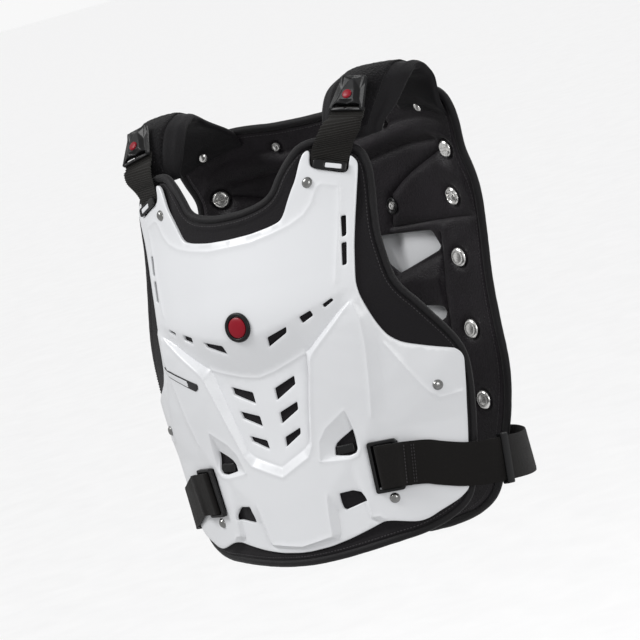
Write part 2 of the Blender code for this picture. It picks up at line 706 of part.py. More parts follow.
front_net = net(liner_whole, both + [plate_edge], PLATE_STEP)
flat, faces = choose(*front_net, plate_edge, plate_cuts)
sheet("front_plate", flat, faces, plate_face, lambda s, z: plate_face(s, z, -PLATE_WALL), WHITE)
plate_top = on_facets(flat, faces, plate_face)
flat, faces = choose(*front_net, liner_edge, [])
sheet("front_liner", flat, faces, liner_fore, lambda s, z: liner_fore(s, z, -FRONT_PAD), LINER)
liner_top = on_facets(flat, faces, liner_fore)
tape_line = inset(liner_whole, TAPE_RADIUS)
tape_out = -PLATE_WALL - GAP - 0.5 * FRONT_PAD
tape("front_binding", [front_at(s, z, tape_out) for s, z in both_sides(tape_line)], TAPE)

# Badge, rivets and sticker stand on the face of the plate.
BADGE = (0.0, BADGE_Z)
ring_boss("badge_ring", plate_top, BADGE, (
    (BADGE_RADIUS, GAP), (BADGE_RADIUS, 0.0022), (BADGE_RADIUS - 0.0012, 0.0032),
    (BADGE_DISC + GAP, 0.0030), (BADGE_DISC + GAP, GAP),
), 20, MOULDED)
boss("badge_disc", plate_top, BADGE, (
    (0, 0.0034), (0.6 * BADGE_DISC, 0.0031), (BADGE_DISC, 0.0022), (BADGE_DISC, GAP), (0, GAP),
), 20, RED)
for name, spot in PLATE_RIVETS.items():
    at = unroll((spot,), FRONT_RADIUS)[0]
    dome = (
        (0, RIVET_HEIGHT), (0.62 * RIVET_RADIUS, 0.78 * RIVET_HEIGHT + 0.2 * GAP),
        (RIVET_RADIUS, 0.35 * RIVET_HEIGHT), (RIVET_RADIUS, GAP), (0, GAP),
    )
    left = boss(name + "_l", plate_top, at, dome, 10, NICKEL)
    twin(left, name + "_r")
flat, faces = choose(*front_net, label, [])
sticker = sheet(
    "side_label", flat, faces, lambda s, z: plate_face(s, z, GAP + LABEL_WALL),
    lambda s, z: plate_face(s, z, GAP), STICKER, halves=False,
)
flipped(sticker)

# The moulded back liner with its windows and the white shell behind it
# share one net in the same way.
back_tree = relief_tree(BACK_CREASES, BACK_RADIUS)
shell_tree = relief_tree(BACK_PLATE_CREASES, BACK_RADIUS)
back_whole = unroll(BACK_EDGE, BACK_RADIUS)
back_edge = inset(back_whole, 2 * TAPE_RADIUS + GAP)
shell_edge = unroll(BACK_PLATE_EDGE, BACK_RADIUS)
back_cuts = [unroll(cut, BACK_RADIUS) for cut in BACK_WINDOWS.values()]
back_lines = [unroll(line, BACK_RADIUS) for line in BACK_CREASES.values()]
shell_lines = [unroll(line, BACK_RADIUS) for line in BACK_PLATE_CREASES.values()]


def back_face(s, z, up=0.0):
    return back_at(s, z, -relief(back_tree, s, z) - up)


def shell_face(s, z, out=0.0):
    return back_at(s, z, BACK_PAD + GAP + relief(shell_tree, s, z) + out)


both = [shell_edge] + back_lines + shell_lines + [closed(cut) for cut in back_cuts]
back_net = net(back_edge, both, LINER_STEP)
flat, faces = choose(*back_net, back_edge, back_cuts)
sheet("back_liner", flat, faces, back_face, lambda s, z: back_at(s, z, BACK_PAD), BACK_LINER)
back_top = on_facets(flat, faces, back_face)
flat, faces = choose(*back_net, shell_edge, [])
sheet("back_plate", flat, faces, shell_face, lambda s, z: shell_face(s, z, PLATE_WALL), BACK_WHITE)
shell_top = on_facets(flat, faces, lambda s, z, out=0.0: shell_face(s, z, PLATE_WALL + out))
tape_line = inset(back_whole, TAPE_RADIUS)
tape("back_binding", [back_at(s, z, 0.5 * BACK_PAD) for s, z in both_sides(tape_line)], TAPE)


def screw_head(radius):
    return (0, 0.0026), (0.7 * radius, 0.0022), (radius, 0.0012), (radius, GAP), (0, GAP)


for number, (x, z, radius) in enumerate(BACK_SCREWS, 1):
    at = unroll(((x, z),), BACK_RADIUS)[0]
    left = boss(f"back_screw_l_{number}", back_top, at, screw_head(radius), 8, NICKEL)
    twin(left, f"back_screw_r_{number}")


def spot(row):
    # A row of shares as a point of the piece.
    return Vector((row[0] * HALF, FRONT_Y + row[1] * DEEP, BADGE_Z + row[2] * TALL))


def tail_spot(x, z, clear):
    (s, z), = unroll(((x, z),), BACK_RADIUS)
    return back_top(s, z, clear)


PAD_ROWS = [tuple(spot(row) for row in station) for station in PAD]
for x0, z0, x1, z1, x2, z2, clear in PAD_TAIL:
    arm_edge = tail_spot(x2, z2, clear + EDGE_LIFT)
    PAD_ROWS.append((tail_spot(x0, z0, clear), tail_spot(x1, z1, clear), arm_edge))


def pad_frame(place):
    # Neck edge, middle, arm edge and outward direction at a place along the pad.
    low = min(int(place), len(PAD_ROWS) - 2)
    t = place - low
    ends = [a.lerp(b, t) for a, b in zip(PAD_ROWS[low], PAD_ROWS[low + 1])]
    along = PAD_ROWS[low + 1][1] - PAD_ROWS[low][1]
    if 0 < low and t < 0.5:
        along += PAD_ROWS[low][1] - PAD_ROWS[low - 1][1]
    across = ends[2] - ends[0]
    return ends, across.cross(along).normalized()


def pad_face(place, side, out=0.0):
    # side runs from -1 at the neck edge to 1 at the arm edge.
    (neck, middle, arm), up = pad_frame(place)
    point = neck * (side * (side - 1) / 2) + middle * (1 - side * side) + arm * (side * (side + 1) / 2)
    return point + up * out


# Shoulder pads, each with its fuzzy patch.
PAD_SIDES = (-1.0, -0.6, 0.0, 0.6, 1.0)
rings = []
for n in range(len(PAD_ROWS)):
    outer = [pad_face(n, side) for side in PAD_SIDES]
    inner = [pad_face(n, 0.94 * side, -PAD_WALL) for side in PAD_SIDES]
    rings.append(outer + inner[::-1])
left = loft("shoulder_pad_l", rings, PAD_CLOTH)
twin(left, "shoulder_pad_r")
PATCH_SIDES = PAD_SIDES[1:-1]
rings = []
for place in range(1, 8):
    low = [pad_face(place, side, GAP) for side in PATCH_SIDES]
    high = [pad_face(place, side, GAP + PATCH_WALL) for side in PATCH_SIDES]
    rings.append(high + low[::-1])
left = loft("loop_patch_l", rings, LOOPS)
twin(left, "loop_patch_r")


def pad_inside(u, v, out):
    # Flat seat on the inner face of the pad's tail.
    middle = pad_face(10, 0.08, -PAD_WALL)
    across = (pad_face(10, 0.3, -PAD_WALL) - pad_face(10, -0.1, -PAD_WALL)).normalized()
    up = (pad_face(9.5, 0.08, -PAD_WALL) - pad_face(10, 0.08, -PAD_WALL)).normalized()
    return middle + across * u + up * v + across.cross(up).normalized() * (out + 0.0004)


left = boss("pad_screw_l", pad_inside, (0, 0), screw_head(PAD_SCREW_RADIUS), 8, NICKEL)
twin(left, "pad_screw_r")


# Shoulder buckle: a flat frame that carries a raised triangle and a disc.
# Its own frame runs from the foot bar up the slope of the pad.
FOOT = (spot((.575, .362, .452)) + spot((.772, .376, .440))) / 2
HEAD = spot((.700, .478, .522))
BUCKLE_WIDE = 0.040
BUCKLE_TALL = 0.040
BUCKLE_WALL = 0.0030
DISC_RADIUS = 0.0050
buckle_up = (HEAD - FOOT).normalized()
buckle_across = (spot((.772, .376, .440)) - spot((.575, .362, .452))).normalized()
buckle_out = buckle_across.cross(buckle_up).normalized()
buckle_across = buckle_up.cross(buckle_out).normalized()


def on_buckle(u, v, out):
    return FOOT + buckle_across * (u * BUCKLE_WIDE) + buckle_up * (v * BUCKLE_TALL) + buckle_out * out


# Columns: across, up, height of the face over the back of the frame.
BUCKLE_EDGE = ((0, 0), (.46, 0), (.50, .05), (.36, .95), (.31, 1.0), (0, 1.0))
BUCKLE_HEIGHTS = (
    (0, 0, 1.0), (.5, 0, 1.0), (.5, 1.0, 1.4), (0, 1.0, 1.4), (.40, .05, 1.0), (.27, .95, 1.5),
    (.44, .05, 1.9), (.31, .95, 2.0), (.34, .21, 1.2), (0, .21, 1.2), (.22, .26, 2.4), (0, .26, 2.4),
    (.17, .54, 2.4), (0, .54, 2.4), (.05, .84, 2.0), (0, .86, 2.0), (.08, .90, 1.0), (0, .92, 1.0),
    (.26, .58, 1.0), (.32, .28, 1.0),
)
DISC_HEIGHT = 2.4
flat, faces = triangulate([row[:2] for row in BUCKLE_HEIGHTS] + list(BUCKLE_EDGE), [])
highs = [row[2] for row in BUCKLE_HEIGHTS] + [1.0] * len(BUCKLE_EDGE)
base = [Vector((row[0], row[1], high)) for row, high in zip(list(BUCKLE_HEIGHTS) + list(BUCKLE_EDGE), highs)]
raised = []
for u, v in flat:
    near = min(base, key=lambda p: (p.x - u) ** 2 + (p.y - v) ** 2)
    raised.append(Vector((u, v, near.z)))
buckle_tree = BVHTree.FromPolygons(raised, faces)


def buckle_height(u, v):
    start = Vector((min(max(abs(u), 0.001), 0.499), min(max(v, 0.001), 0.999), 9))
    hit = buckle_tree.ray_cast(start, Vector((0, 0, -1)))
    return BUCKLE_WALL * (hit[0].z if hit[0] else 1.0)


points = list(BUCKLE_EDGE) + [(-u, v) for u, v in reversed(BUCKLE_EDGE[1:-1])]
edges = [(n, (n + 1) % len(points)) for n in range(len(points))]
outline = list(points)
hole = [(-.38, .07), (.38, .07), (.37, .17), (-.37, .17)]
base = len(points)
points += hole
edges += [(base + n, base + (n + 1) % 4) for n in range(4)]
for u, v, high in BUCKLE_HEIGHTS:
    if 0.0 < v < 1.0 and u < 0.45:
        points.append((u, v))
        if u > 0:
            points.append((-u, v))
flat, faces = triangulate(points, edges)
kept = []
for face in faces:
    mid = (sum(flat[n][0] for n in face) / 3, sum(flat[n][1] for n in face) / 3)
    if inside(mid, outline) and not inside(mid, hole):
        kept.append(face)
left = sheet(
    "shoulder_buckle_l", flat, kept, lambda u, v: on_buckle(u, v, buckle_height(u, v)),
    lambda u, v: on_buckle(u, v, 0.0), MOULDED, halves=False,
)
twin(left, "shoulder_buckle_r")


def disc_at(u, v, out):
    return on_buckle(0, 0.40, DISC_HEIGHT * BUCKLE_WALL + out) + buckle_across * u + buckle_up * v


left = boss("buckle_disc_l", disc_at, (0, 0), (
    (0, 0.0018), (0.8 * DISC_RADIUS, 0.0016), (DISC_RADIUS, 0.0010), (DISC_RADIUS, GAP), (0, GAP),
), 12, RED)
twin(left, "buckle_disc_r")

# Shoulder webbing, two layers thick under the buckle.
rings = []
for v, wide, layers in ((0.15, 0.46, 2.0), (0.0, 0.47, 2.0), (-0.12, 0.48, 2.0)):
    rear, fore = -GAP - layers * WEB_WALL, -GAP
    rings.append([
        on_buckle(-wide, v, rear), on_buckle(wide, v, rear), on_buckle(wide, v, fore), on_buckle(-wide, v, fore),
    ])
for n, (inner, outer, layers) in enumerate(WEBBING):
    a, b = spot(inner), spot(outer)
    low, high = max(n - 1, 0), min(n + 1, len(WEBBING) - 1)
    along = spot(WEBBING[low][0]) - spot(WEBBING[high][0])
    up = (b - a).cross(along).normalized()
    fore = layers * WEB_WALL
    rings.append([a, b, b + up * fore, a + up * fore])
for x0, z0, x1, z1, depth in WEB_TUCK:
    (s0, z0), (s1, z1) = unroll(((x0, z0), (x1, z1)), FRONT_RADIUS)
    rear = -depth - WEB_WALL
    rings.append([
        plate_top(s0, z0, rear), plate_top(s1, z1, rear), plate_top(s1, z1, -depth), plate_top(s0, z0, -depth),
    ])
left = loft("shoulder_webbing_l", rings, WEB_CLOTH)
twin(left, "shoulder_webbing_r")


STRAP_LINE = [plate_top(*row) for row in unroll(STRAP_FORE, FRONT_RADIUS)] + [spot(row) for row in STRAP]


def strap_frame(place):
    # Middle of the strap, its direction round the body and outward direction.
    low = min(int(place), len(STRAP_LINE) - 2)
    t = place - low
    mid = STRAP_LINE[low].lerp(STRAP_LINE[low + 1], t)
    first = STRAP_LINE[max(low - (t < 0.5), 0)]
    second = STRAP_LINE[min(low + 1 + (t > 0.5), len(STRAP_LINE) - 1)]
    along = (second - first).normalized()
    out = along.cross(Vector((0, 0, 1))).normalized()
    return mid, along, out, out.cross(along).normalized()


def strap_at(place, tall, out):
    mid, along, outward, up = strap_frame(place)
    return mid + outward * out + up * tall


# Side elastics: a tongue reaches into the buckle, the rest lies over it.
TONGUE = 0.0050
rings = []
for place in (0, 0.9, 1, 2, 3, 4, 5, 6, 7, 8, 9, 10, 11, 12, 13, 14, 15):
    rear = -TONGUE if place < 1 else 0.0
    rings.append([
        strap_at(place, -HALF_STRAP, rear), strap_at(place, HALF_STRAP, rear),
        strap_at(place, HALF_STRAP, STRAP_WALL), strap_at(place, -HALF_STRAP, STRAP_WALL),
    ])
for s, z, clear in unroll(STRAP_END, BACK_RADIUS):
    low, high = z - HALF_STRAP, z + HALF_STRAP
    rings.append([
        shell_top(s, low, clear), shell_top(s, high, clear),
        shell_top(s, high, clear + STRAP_WALL), shell_top(s, low, clear + STRAP_WALL),
    ])
left = loft("side_strap_l", rings, ELASTIC)
twin(left, "side_strap_r")


def ring_frame(name, centre, across, up, out, outer, inner, wall, colour):
    # A rectangular frame with cut corners; outer and inner are half sizes.
    def loop(half, cut, height):
        wide, tall = half
        corners = (
            (wide, tall - cut), (wide - cut, tall), (cut - wide, tall), (-wide, tall - cut),
            (-wide, cut - tall), (cut - wide, -tall), (wide - cut, -tall), (wide, cut - tall),
        )
        return [centre + across * u + up * v + out * height for u, v in corners]

    cut = 0.3 * min(outer)
    nick = 0.12 * min(inner)
    loops = (loop(outer, cut, 0), loop(outer, cut, wall), loop(inner, nick, wall), loop(inner, nick, 0))
    verts = [v for ring in loops for v in ring]
    faces = []
    for ring in range(4):
        a, b = ring * 8, (ring + 1) % 4 * 8
        for n in range(8):
            m = (n + 1) % 8
            faces.append((a + n, a + m, b + m, b + n))
    return solid(name, verts, faces, colour)


# The frame buckle on the plate and the keeper on the elastic.
KEEPER_LONG = 0.0110
mid, along, outward, up = strap_frame(0.45)
left = ring_frame(
    "side_buckle_l", mid - outward * (LOOP_WALL + GAP), along, up, outward,
    LOOP_HALF, LOOP_HOLE, LOOP_WALL, MOULDED,
)
twin(left, "side_buckle_r")
mid, along, outward, up = strap_frame(7.5)
centre = mid - along * (0.5 * KEEPER_LONG) + outward * (0.5 * STRAP_WALL)
left = ring_frame(
    "strap_keeper_l", centre, -outward, up, along, (0.0038, HALF_STRAP + 0.0035),
    (0.5 * STRAP_WALL + 0.0011, HALF_STRAP + 0.0012), KEEPER_LONG, MOULDED,
)
twin(left, "strap_keeper_r")

# The small slide seen in the upper of the lower windows.
SLIDE = unroll(((.375, -.3575),), FRONT_RADIUS)[0]
SLIDE_HALF = (0.0095, 0.0042)
SLIDE_GAP = 0.0008
SLIDE_WALL = 0.0040
rings = []
for share, tall in ((-1.0, 0.7), (-0.8, 1.0), (0.8, 1.0), (1.0, 0.7)):
    s, low, high = SLIDE[0] + share * SLIDE_HALF[0], -tall * SLIDE_HALF[1], tall * SLIDE_HALF[1]
    ring = []
    for v, out in ((low, SLIDE_GAP), (high, SLIDE_GAP), (high, SLIDE_WALL), (low, SLIDE_WALL)):
        ring.append(liner_top(s, SLIDE[1] + v, out))
    rings.append(ring)
left = loft("inner_slide_l", rings, MOULDED)
twin(left, "inner_slide_r")
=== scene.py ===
import math

import bmesh
import bpy
import numpy as np
from mathutils import Matrix, Vector, noise
from mathutils.bvhtree import BVHTree
from mathutils.geometry import delaunay_2d_cdt
from mathutils.kdtree import KDTree


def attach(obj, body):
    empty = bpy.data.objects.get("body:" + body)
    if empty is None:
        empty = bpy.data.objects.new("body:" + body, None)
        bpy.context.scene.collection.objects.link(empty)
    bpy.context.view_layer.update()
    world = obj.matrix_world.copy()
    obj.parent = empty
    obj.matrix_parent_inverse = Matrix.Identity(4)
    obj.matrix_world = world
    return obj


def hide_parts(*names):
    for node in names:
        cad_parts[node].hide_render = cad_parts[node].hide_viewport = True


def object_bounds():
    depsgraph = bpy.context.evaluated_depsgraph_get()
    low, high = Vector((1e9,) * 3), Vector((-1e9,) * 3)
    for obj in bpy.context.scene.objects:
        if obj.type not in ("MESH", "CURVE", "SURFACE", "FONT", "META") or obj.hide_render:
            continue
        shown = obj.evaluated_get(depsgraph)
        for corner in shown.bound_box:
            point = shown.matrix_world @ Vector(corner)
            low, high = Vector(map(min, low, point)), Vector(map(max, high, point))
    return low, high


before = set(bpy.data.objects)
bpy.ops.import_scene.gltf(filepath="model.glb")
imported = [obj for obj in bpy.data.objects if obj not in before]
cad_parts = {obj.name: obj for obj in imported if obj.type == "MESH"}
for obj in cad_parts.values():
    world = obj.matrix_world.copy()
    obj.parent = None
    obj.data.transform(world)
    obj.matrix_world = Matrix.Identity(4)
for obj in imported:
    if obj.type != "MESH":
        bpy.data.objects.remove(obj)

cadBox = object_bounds()

# the worn form: table columns are shares, x of half, y of deep, z of tall
form = {
    "half": 0.200, "tall": 0.400, "deep": 0.250, "relief": 0.010,
    "badgeHeight": -0.195, "badgeFront": -0.150, "frontRadius": 0.255, "backRadius": 0.382,
    "plateWall": 0.0030, "gap": 0.0003, "frontPad": 0.0090, "backPad": 0.0080, "tapeRadius": 0.0042,
    # height from the badge, depth behind it
    "frontLine": (
        (-.80, .014), (-.475, .012), (-.325, .014), (-.1925, .006), (0, .004), (.10, .042),
        (.2325, .108), (.305, .136), (.38, .176), (.50, .256),
    ),
    "backLine": (
        (-.80, .916), (-.375, .952), (-.125, 1.0), (.075, 1.032), (.2675, 1.044),
        (.3975, 1.008), (.4275, .988), (.50, .94),
    ),
}


def smoothRow(table, where):
    low = 0
    while low < len(table) - 2 and where > table[low + 1][0]:
        low += 1
    (x0, y0), (x1, y1) = table[low], table[low + 1]
    before, after = table[max(low - 1, 0)], table[min(low + 2, len(table) - 1)]
    slope0, slope1 = (y1 - before[1]) / (x1 - before[0]), (after[1] - y0) / (after[0] - x0)
    t = min(max((where - x0) / (x1 - x0), 0.0), 1.0)
    bend = t * (1 - t) ** 2 * slope0 - t * t * (1 - t) * slope1
    return (1 + 2 * t) * (1 - t) ** 2 * y0 + t * t * (3 - 2 * t) * y1 + bend * (x1 - x0)


def wrap(line, radius, side, s, z, out):
    share = (z - form["badgeHeight"]) / form["tall"]
    turn = s / radius
    lean = form["deep"] / form["tall"] * (smoothRow(line, share + .01) - smoothRow(line, share - .01)) / .02
    depth = form["badgeFront"] + form["deep"] * smoothRow(line, share)
    normal = Vector((math.sin(turn), -side * math.cos(turn), side * lean * math.cos(turn))).normalized()
    return Vector((radius * math.sin(turn), depth + side * radius * (1 - math.cos(turn)), z)) + normal * out


def frontAt(s, z, out=0.0):  # out is toward the front
    return wrap(form["frontLine"], form["frontRadius"], 1, s, z, out)


def backAt(s, z, out=0.0):  # out is away from the body
    return wrap(form["backLine"], form["backRadius"], -1, s, z, out)


def spot(row):
    return Vector((row[0] * form["half"], form["badgeFront"] + row[1] * form["deep"],
                   form["badgeHeight"] + row[2] * form["tall"]))


def unroll(rows, radius):  # shares to distance round the form, and height
    return [(radius * math.asin(r[0] * form["half"] / radius), form["badgeHeight"] + r[1] * form["tall"], *r[2:])
            for r in rows]


def fillet(points, reach, closed):  # rounds the corners of an outline
    count = len(points)
    made = []
    for n, p in enumerate(points):
        if not closed and n in (0, count - 1):
            made.append(tuple(p[:2]))
            continue
        here, before, after = Vector(p[:2]), Vector(points[n - 1][:2]), Vector(points[(n + 1) % count][:2])
        first, second = before - here, after - here
        start = here + first * min(0.45, reach / max(first.length, 1e-6))
        end = here + second * min(0.45, reach / max(second.length, 1e-6))
        for t in (0.0, 0.33, 0.67, 1.0):
            made.append(tuple(start * (1 - t) ** 2 + here * 2 * t * (1 - t) + end * t * t))
    return made


def dense(points, step, closed=False):
    run = list(points) + ([points[0]] if closed else [])
    made = []
    for a, b in zip(run, run[1:]):
        parts = max(1, round(math.dist(a[:2], b[:2]) / step))
        made += [tuple(p + (q - p) * k / parts for p, q in zip(a, b)) for k in range(parts)]
    return made if closed else made + [tuple(run[-1])]


def inset(edge, width):  # moves an open half outline inward
    moved = []
    last = len(edge) - 1
    for n, (s, z) in enumerate(edge):
        before = edge[n - 1] if n else (-edge[1][0], edge[1][1])
        after = edge[n + 1] if n < last else (-edge[n - 1][0], edge[n - 1][1])
        first = Vector((s - before[0], z - before[1])).normalized()
        second = Vector((after[0] - s, after[1] - z)).normalized()
        along = (first + second).normalized()
        stretch = 1.0 / max(along.dot(second), 0.6)
        moved.append((s + along.y * width * stretch, z - along.x * width * stretch))
    moved[0], moved[last] = (0.0, moved[0][1]), (0.0, moved[last][1])
    return moved


def beside(line, width):  # a run beside an open line
    moved = []
    for n, p in enumerate(line):
        before, after = line[max(n - 1, 0)], line[min(n + 1, len(line) - 1)]
        along = Vector((after[0] - before[0], after[1] - before[1])).normalized()
        moved.append((p[0] + along.y * width, p[1] - along.x * width))
    return [p for p in moved if p[0] > 1e-5]


def grow(loop, width):  # moves a closed loop outward
    area = sum(a[0] * b[1] - b[0] * a[1] for a, b in zip(loop, loop[1:] + loop[:1]))
    turn = 1.0 if area > 0 else -1.0
    moved = []
    for n, p in enumerate(loop):
        first = (Vector(p[:2]) - Vector(loop[n - 1][:2])).normalized()
        second = (Vector(loop[(n + 1) % len(loop)][:2]) - Vector(p[:2])).normalized()
        along = (first + second).normalized()
        stretch = turn * width / max(along.dot(second), 0.6)
        moved.append((p[0] + along.y * stretch, p[1] - along.x * stretch))
    return moved


def insideMask(points, loop):
    x, y = points[:, 0], points[:, 1]
    hit = np.zeros(len(points), bool)
    run = np.array([p[:2] for p in loop])
    for (x0, y0), (x1, y1) in zip(np.roll(run, 1, axis=0), run):
        if y0 != y1:
            crossing = (y0 > y) != (y1 > y)
            hit ^= crossing & (x < x0 + (x1 - x0) * (y - y0) / (y1 - y0))
    return hit


def nearLines(points, lines):  # distance from each point to the nearest line
    starts, ends = [], []
    for line in lines:
        starts += [p[:2] for p in line[:-1]]
        ends += [p[:2] for p in line[1:]]
    starts, runs = np.array(starts), np.array(ends) - np.array(starts)
    lengths = np.maximum((runs ** 2).sum(axis=1), 1e-14)
    found = np.empty(len(points))
    for low in range(0, len(points), 2000):
        here = points[low:low + 2000, None, :] - starts[None]
        t = np.clip((here * runs[None]).sum(axis=2) / lengths[None], 0, 1)
        gap = here - runs[None] * t[..., None]
        found[low:low + 2000] = np.sqrt((gap ** 2).sum(axis=2)).min(axis=1)
    return found


def net(edge, lines, step, halves=True):
    # triangles inside the edge, with each line kept as edges
    points = list(edge)
    edges = [(n, n + 1) for n in range(len(edge) - 1)]
    if halves:
        top, foot = edge[0][1], edge[-1][1]
        count = max(2, round((top - foot) / step))
        base = len(points)
        points += [(0.0, foot + (top - foot) * n / count) for n in range(1, count)]
        chain = [len(edge) - 1] + list(range(base, base + count - 1)) + [0]
        edges += list(zip(chain, chain[1:]))
    else:
        edges.append((len(edge) - 1, 0))
    for line in lines:
        base = len(points)
        points += [row[:2] for row in line]
        edges += [(base + n, base + n + 1) for n in range(len(line) - 1)]
    tree = KDTree(len(points))
    for n, p in enumerate(points):
        tree.insert((p[0], p[1], 0), n)
    tree.balance()
    low, high = np.min([p[:2] for p in edge], axis=0), np.max([p[:2] for p in edge], axis=0)
    grid = []
    for row in range(int((high[1] - low[1]) / (step * .87)) + 1):
        start = (low[0] if not halves else 0.0) + step * (.5 if row % 2 else 1.0)
        grid += [(s, low[1] + step * .5 + row * step * .87) for s in np.arange(start, high[0], step)]
    grid = np.array(grid)
    for s, z in grid[insideMask(grid, edge)]:
        if tree.find((s, z, 0))[2] > step * 0.5:
            points.append((float(s), float(z)))
    made = delaunay_2d_cdt([Vector(p[:2]) for p in points], edges, [], 0, 1e-7)
    return choose(np.array([tuple(v) for v in made[0]]), [tuple(f) for f in made[2]], edge, [])


def choose(flat, faces, loop, cuts):
    flat = np.array(flat)
    mids = flat[np.array(faces)].mean(axis=1)
    keep = insideMask(mids, loop)
    for cut in cuts:
        keep &= ~insideMask(mids, cut)
    kept = [faces[n] for n in np.flatnonzero(keep)]
    used = sorted({n for face in kept for n in face})
    place = {old: new for new, old in enumerate(used)}
    return flat[used], [tuple(place[n] for n in face) for face in kept]


def reliefTree(creases, radius):
    points, edges = [], []
    for line in creases.values():
        for n, row in enumerate(unroll(line, radius)):
            points.append(row)
            if n:
                edges.append((len(points) - 2, len(points) - 1))
    base = len(points)
    for n, (x, z) in enumerate(((0, 1.2), (2, 1.2), (2, -1.2), (0, -1.2))):
        points.append((x * form["half"], form["badgeHeight"] + z * form["tall"], 0))
        edges.append((base + n, base + (n + 1) % 4))
    made = delaunay_2d_cdt([Vector(p[:2]) for p in points], edges, [], 0, 1e-6)
    raised = []
    for s, z in made[0]:
        near = min(points, key=lambda p: (p[0] - s) ** 2 + (p[1] - z) ** 2)
        raised.append(Vector((s, z, near[2] * form["relief"])))
    return BVHTree.FromPolygons(raised, [tuple(f) for f in made[2]])


def relief(tree, s, z, soft=0.0):
    total = 0.0
    offsets = [(0, 0)] + [(soft * math.cos(k), soft * math.sin(k)) for k in (0, 1.05, 2.09, 3.14, 4.19, 5.24)]
    for du, dv in (offsets if soft else offsets[:1]):
        hit = tree.ray_cast(Vector((max(abs(s + du), 1e-5), z + dv, 1.0)), Vector((0, 0, -1)))
        total += hit[0].z if hit[0] else 0.0
    return total / (7 if soft else 1)


def lip(gaps, radius):  # how far a rounded edge falls at each distance from it
    short = np.clip(radius - gaps, 0, radius)
    return radius - np.sqrt(np.maximum(radius ** 2 - short ** 2, 0))


def groove(gaps, depth, width):
    return depth * np.exp(-(gaps / width) ** 2)


def meshPiece(name, verts, faces, material, sharp=40):
    mesh = bpy.data.meshes.new(name)
    mesh.from_pydata([tuple(v) for v in verts], [], faces)
    mesh.materials.append(material)
    mesh.polygons.foreach_set("use_smooth", [True] * len(mesh.polygons))
    mesh.set_sharp_from_angle(angle=math.radians(sharp))
    made = bpy.data.objects.new(name, mesh)
    bpy.context.scene.collection.objects.link(made)
    return made


def shell(name, flat, faces, fore, rear, material, halves=True, sharp=40):
    # a closed wall between two surfaces; fore faces outward
    size = len(flat)
    built = list(faces) + [tuple(n + size for n in reversed(face)) for face in faces]
    sides = set()
    for face in faces:
        sides.update((face[n - 1], face[n]) for n in range(3))
    for a, b in sides:
        onCentre = halves and flat[a][0] < 1e-6 and flat[b][0] < 1e-6
        if (b, a) not in sides and not onCentre:
            built.append((b, a, a + size, b + size))
    made = meshPiece(name, list(fore) + list(rear), built, material, sharp)
    if halves:
        mirror = made.modifiers.new("bothHalves", "MIRROR")
        mirror.use_clip = True
        mirror.merge_threshold = 0.0001
    return made


def facedOut(made):  # turns the faces of a closed piece outward
    solid = bmesh.new()
    solid.from_mesh(made.data)
    if solid.calc_volume(signed=True) < 0:
        made.data.flip_normals()
    solid.free()
    return made


def loft(name, rings, material, closed=False, sharp=40):
    size = len(rings[0])
    verts = [v for ring in rings for v in ring]
    faces = [] if closed else [tuple(reversed(range(size)))]
    for k in range(len(rings) if closed else len(rings) - 1):
        a, b = k * size, (k + 1) % len(rings) * size
        faces += [(a + n, a + (n + 1) % size, b + (n + 1) % size, b + n) for n in range(size)]
    if not closed:
        faces.append(tuple(range((len(rings) - 1) * size, len(rings) * size)))
    return facedOut(meshPiece(name, verts, faces, material, sharp))


def otherSide(made, name):
    data = made.data.copy()
    coords = np.empty(len(data.vertices) * 3)
    data.vertices.foreach_get("co", coords)
    coords[::3] *= -1
    data.vertices.foreach_set("co", coords)
    data.flip_normals()
    twin = bpy.data.objects.new(name, data)
    bpy.context.scene.collection.objects.link(twin)
    return twin


def finishPiece(made, node):
    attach(made, "root")
    if node:
        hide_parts(node)
    return made


def finishPair(left, node):
    right = otherSide(left, left.name.replace("Left", "Right"))
    finishPiece(left, node + "_l")
    finishPiece(right, node + "_r")
    return left, right


def curveThrough(points, parts):  # a smooth run of points through the given ones
    run = [2 * points[0] - points[1]] + list(points) + [2 * points[-1] - points[-2]]
    made = []
    for n in range(1, len(run) - 2):
        a, b, c, d = run[n - 1:n + 3]
        for k in range(parts):
            t = k / parts
            made.append(0.5 * (2 * b + (c - a) * t + (2 * a - 5 * b + 4 * c - d) * t * t
                               + (3 * b - a - 3 * c + d) * t ** 3))
    return made + [points[-1].copy()]


def coin(name, surface, centre, radius, heightAt, material, lines=(), rings=5, sides=40):
    # a round head on a surface; heightAt gives its height at (u, v)
    flat = [(0.0, 0.0)]
    for k in range(1, rings + 1):
        reach = radius * (1 - (1 - k / rings) ** 1.6)
        flat += [(reach * math.cos(2 * math.pi * n / sides), reach * math.sin(2 * math.pi * n / sides))
                 for n in range(sides)]
    base = len(flat)
    edges = [(base - sides + n, base - sides + (n + 1) % sides) for n in range(sides)]
    for line in lines:
        flat += list(line)
        edges += [(len(flat) - len(line) + n, len(flat) - len(line) + n + 1) for n in range(len(line) - 1)]
    found = delaunay_2d_cdt([Vector(p) for p in flat], edges, [], 0, 1e-7)
    flat, faces = choose([tuple(v) for v in found[0]], [tuple(f) for f in found[2]],
                         [flat[n] for n in range(base - sides, base)], [])
    fore = [surface(centre[0] + u, centre[1] + v, heightAt(u, v)) for u, v in flat]
    rear = [surface(centre[0] + u, centre[1] + v, form["gap"]) for u, v in flat]
    return shell(name, flat, faces, fore, rear, material, halves=False, sharp=50)


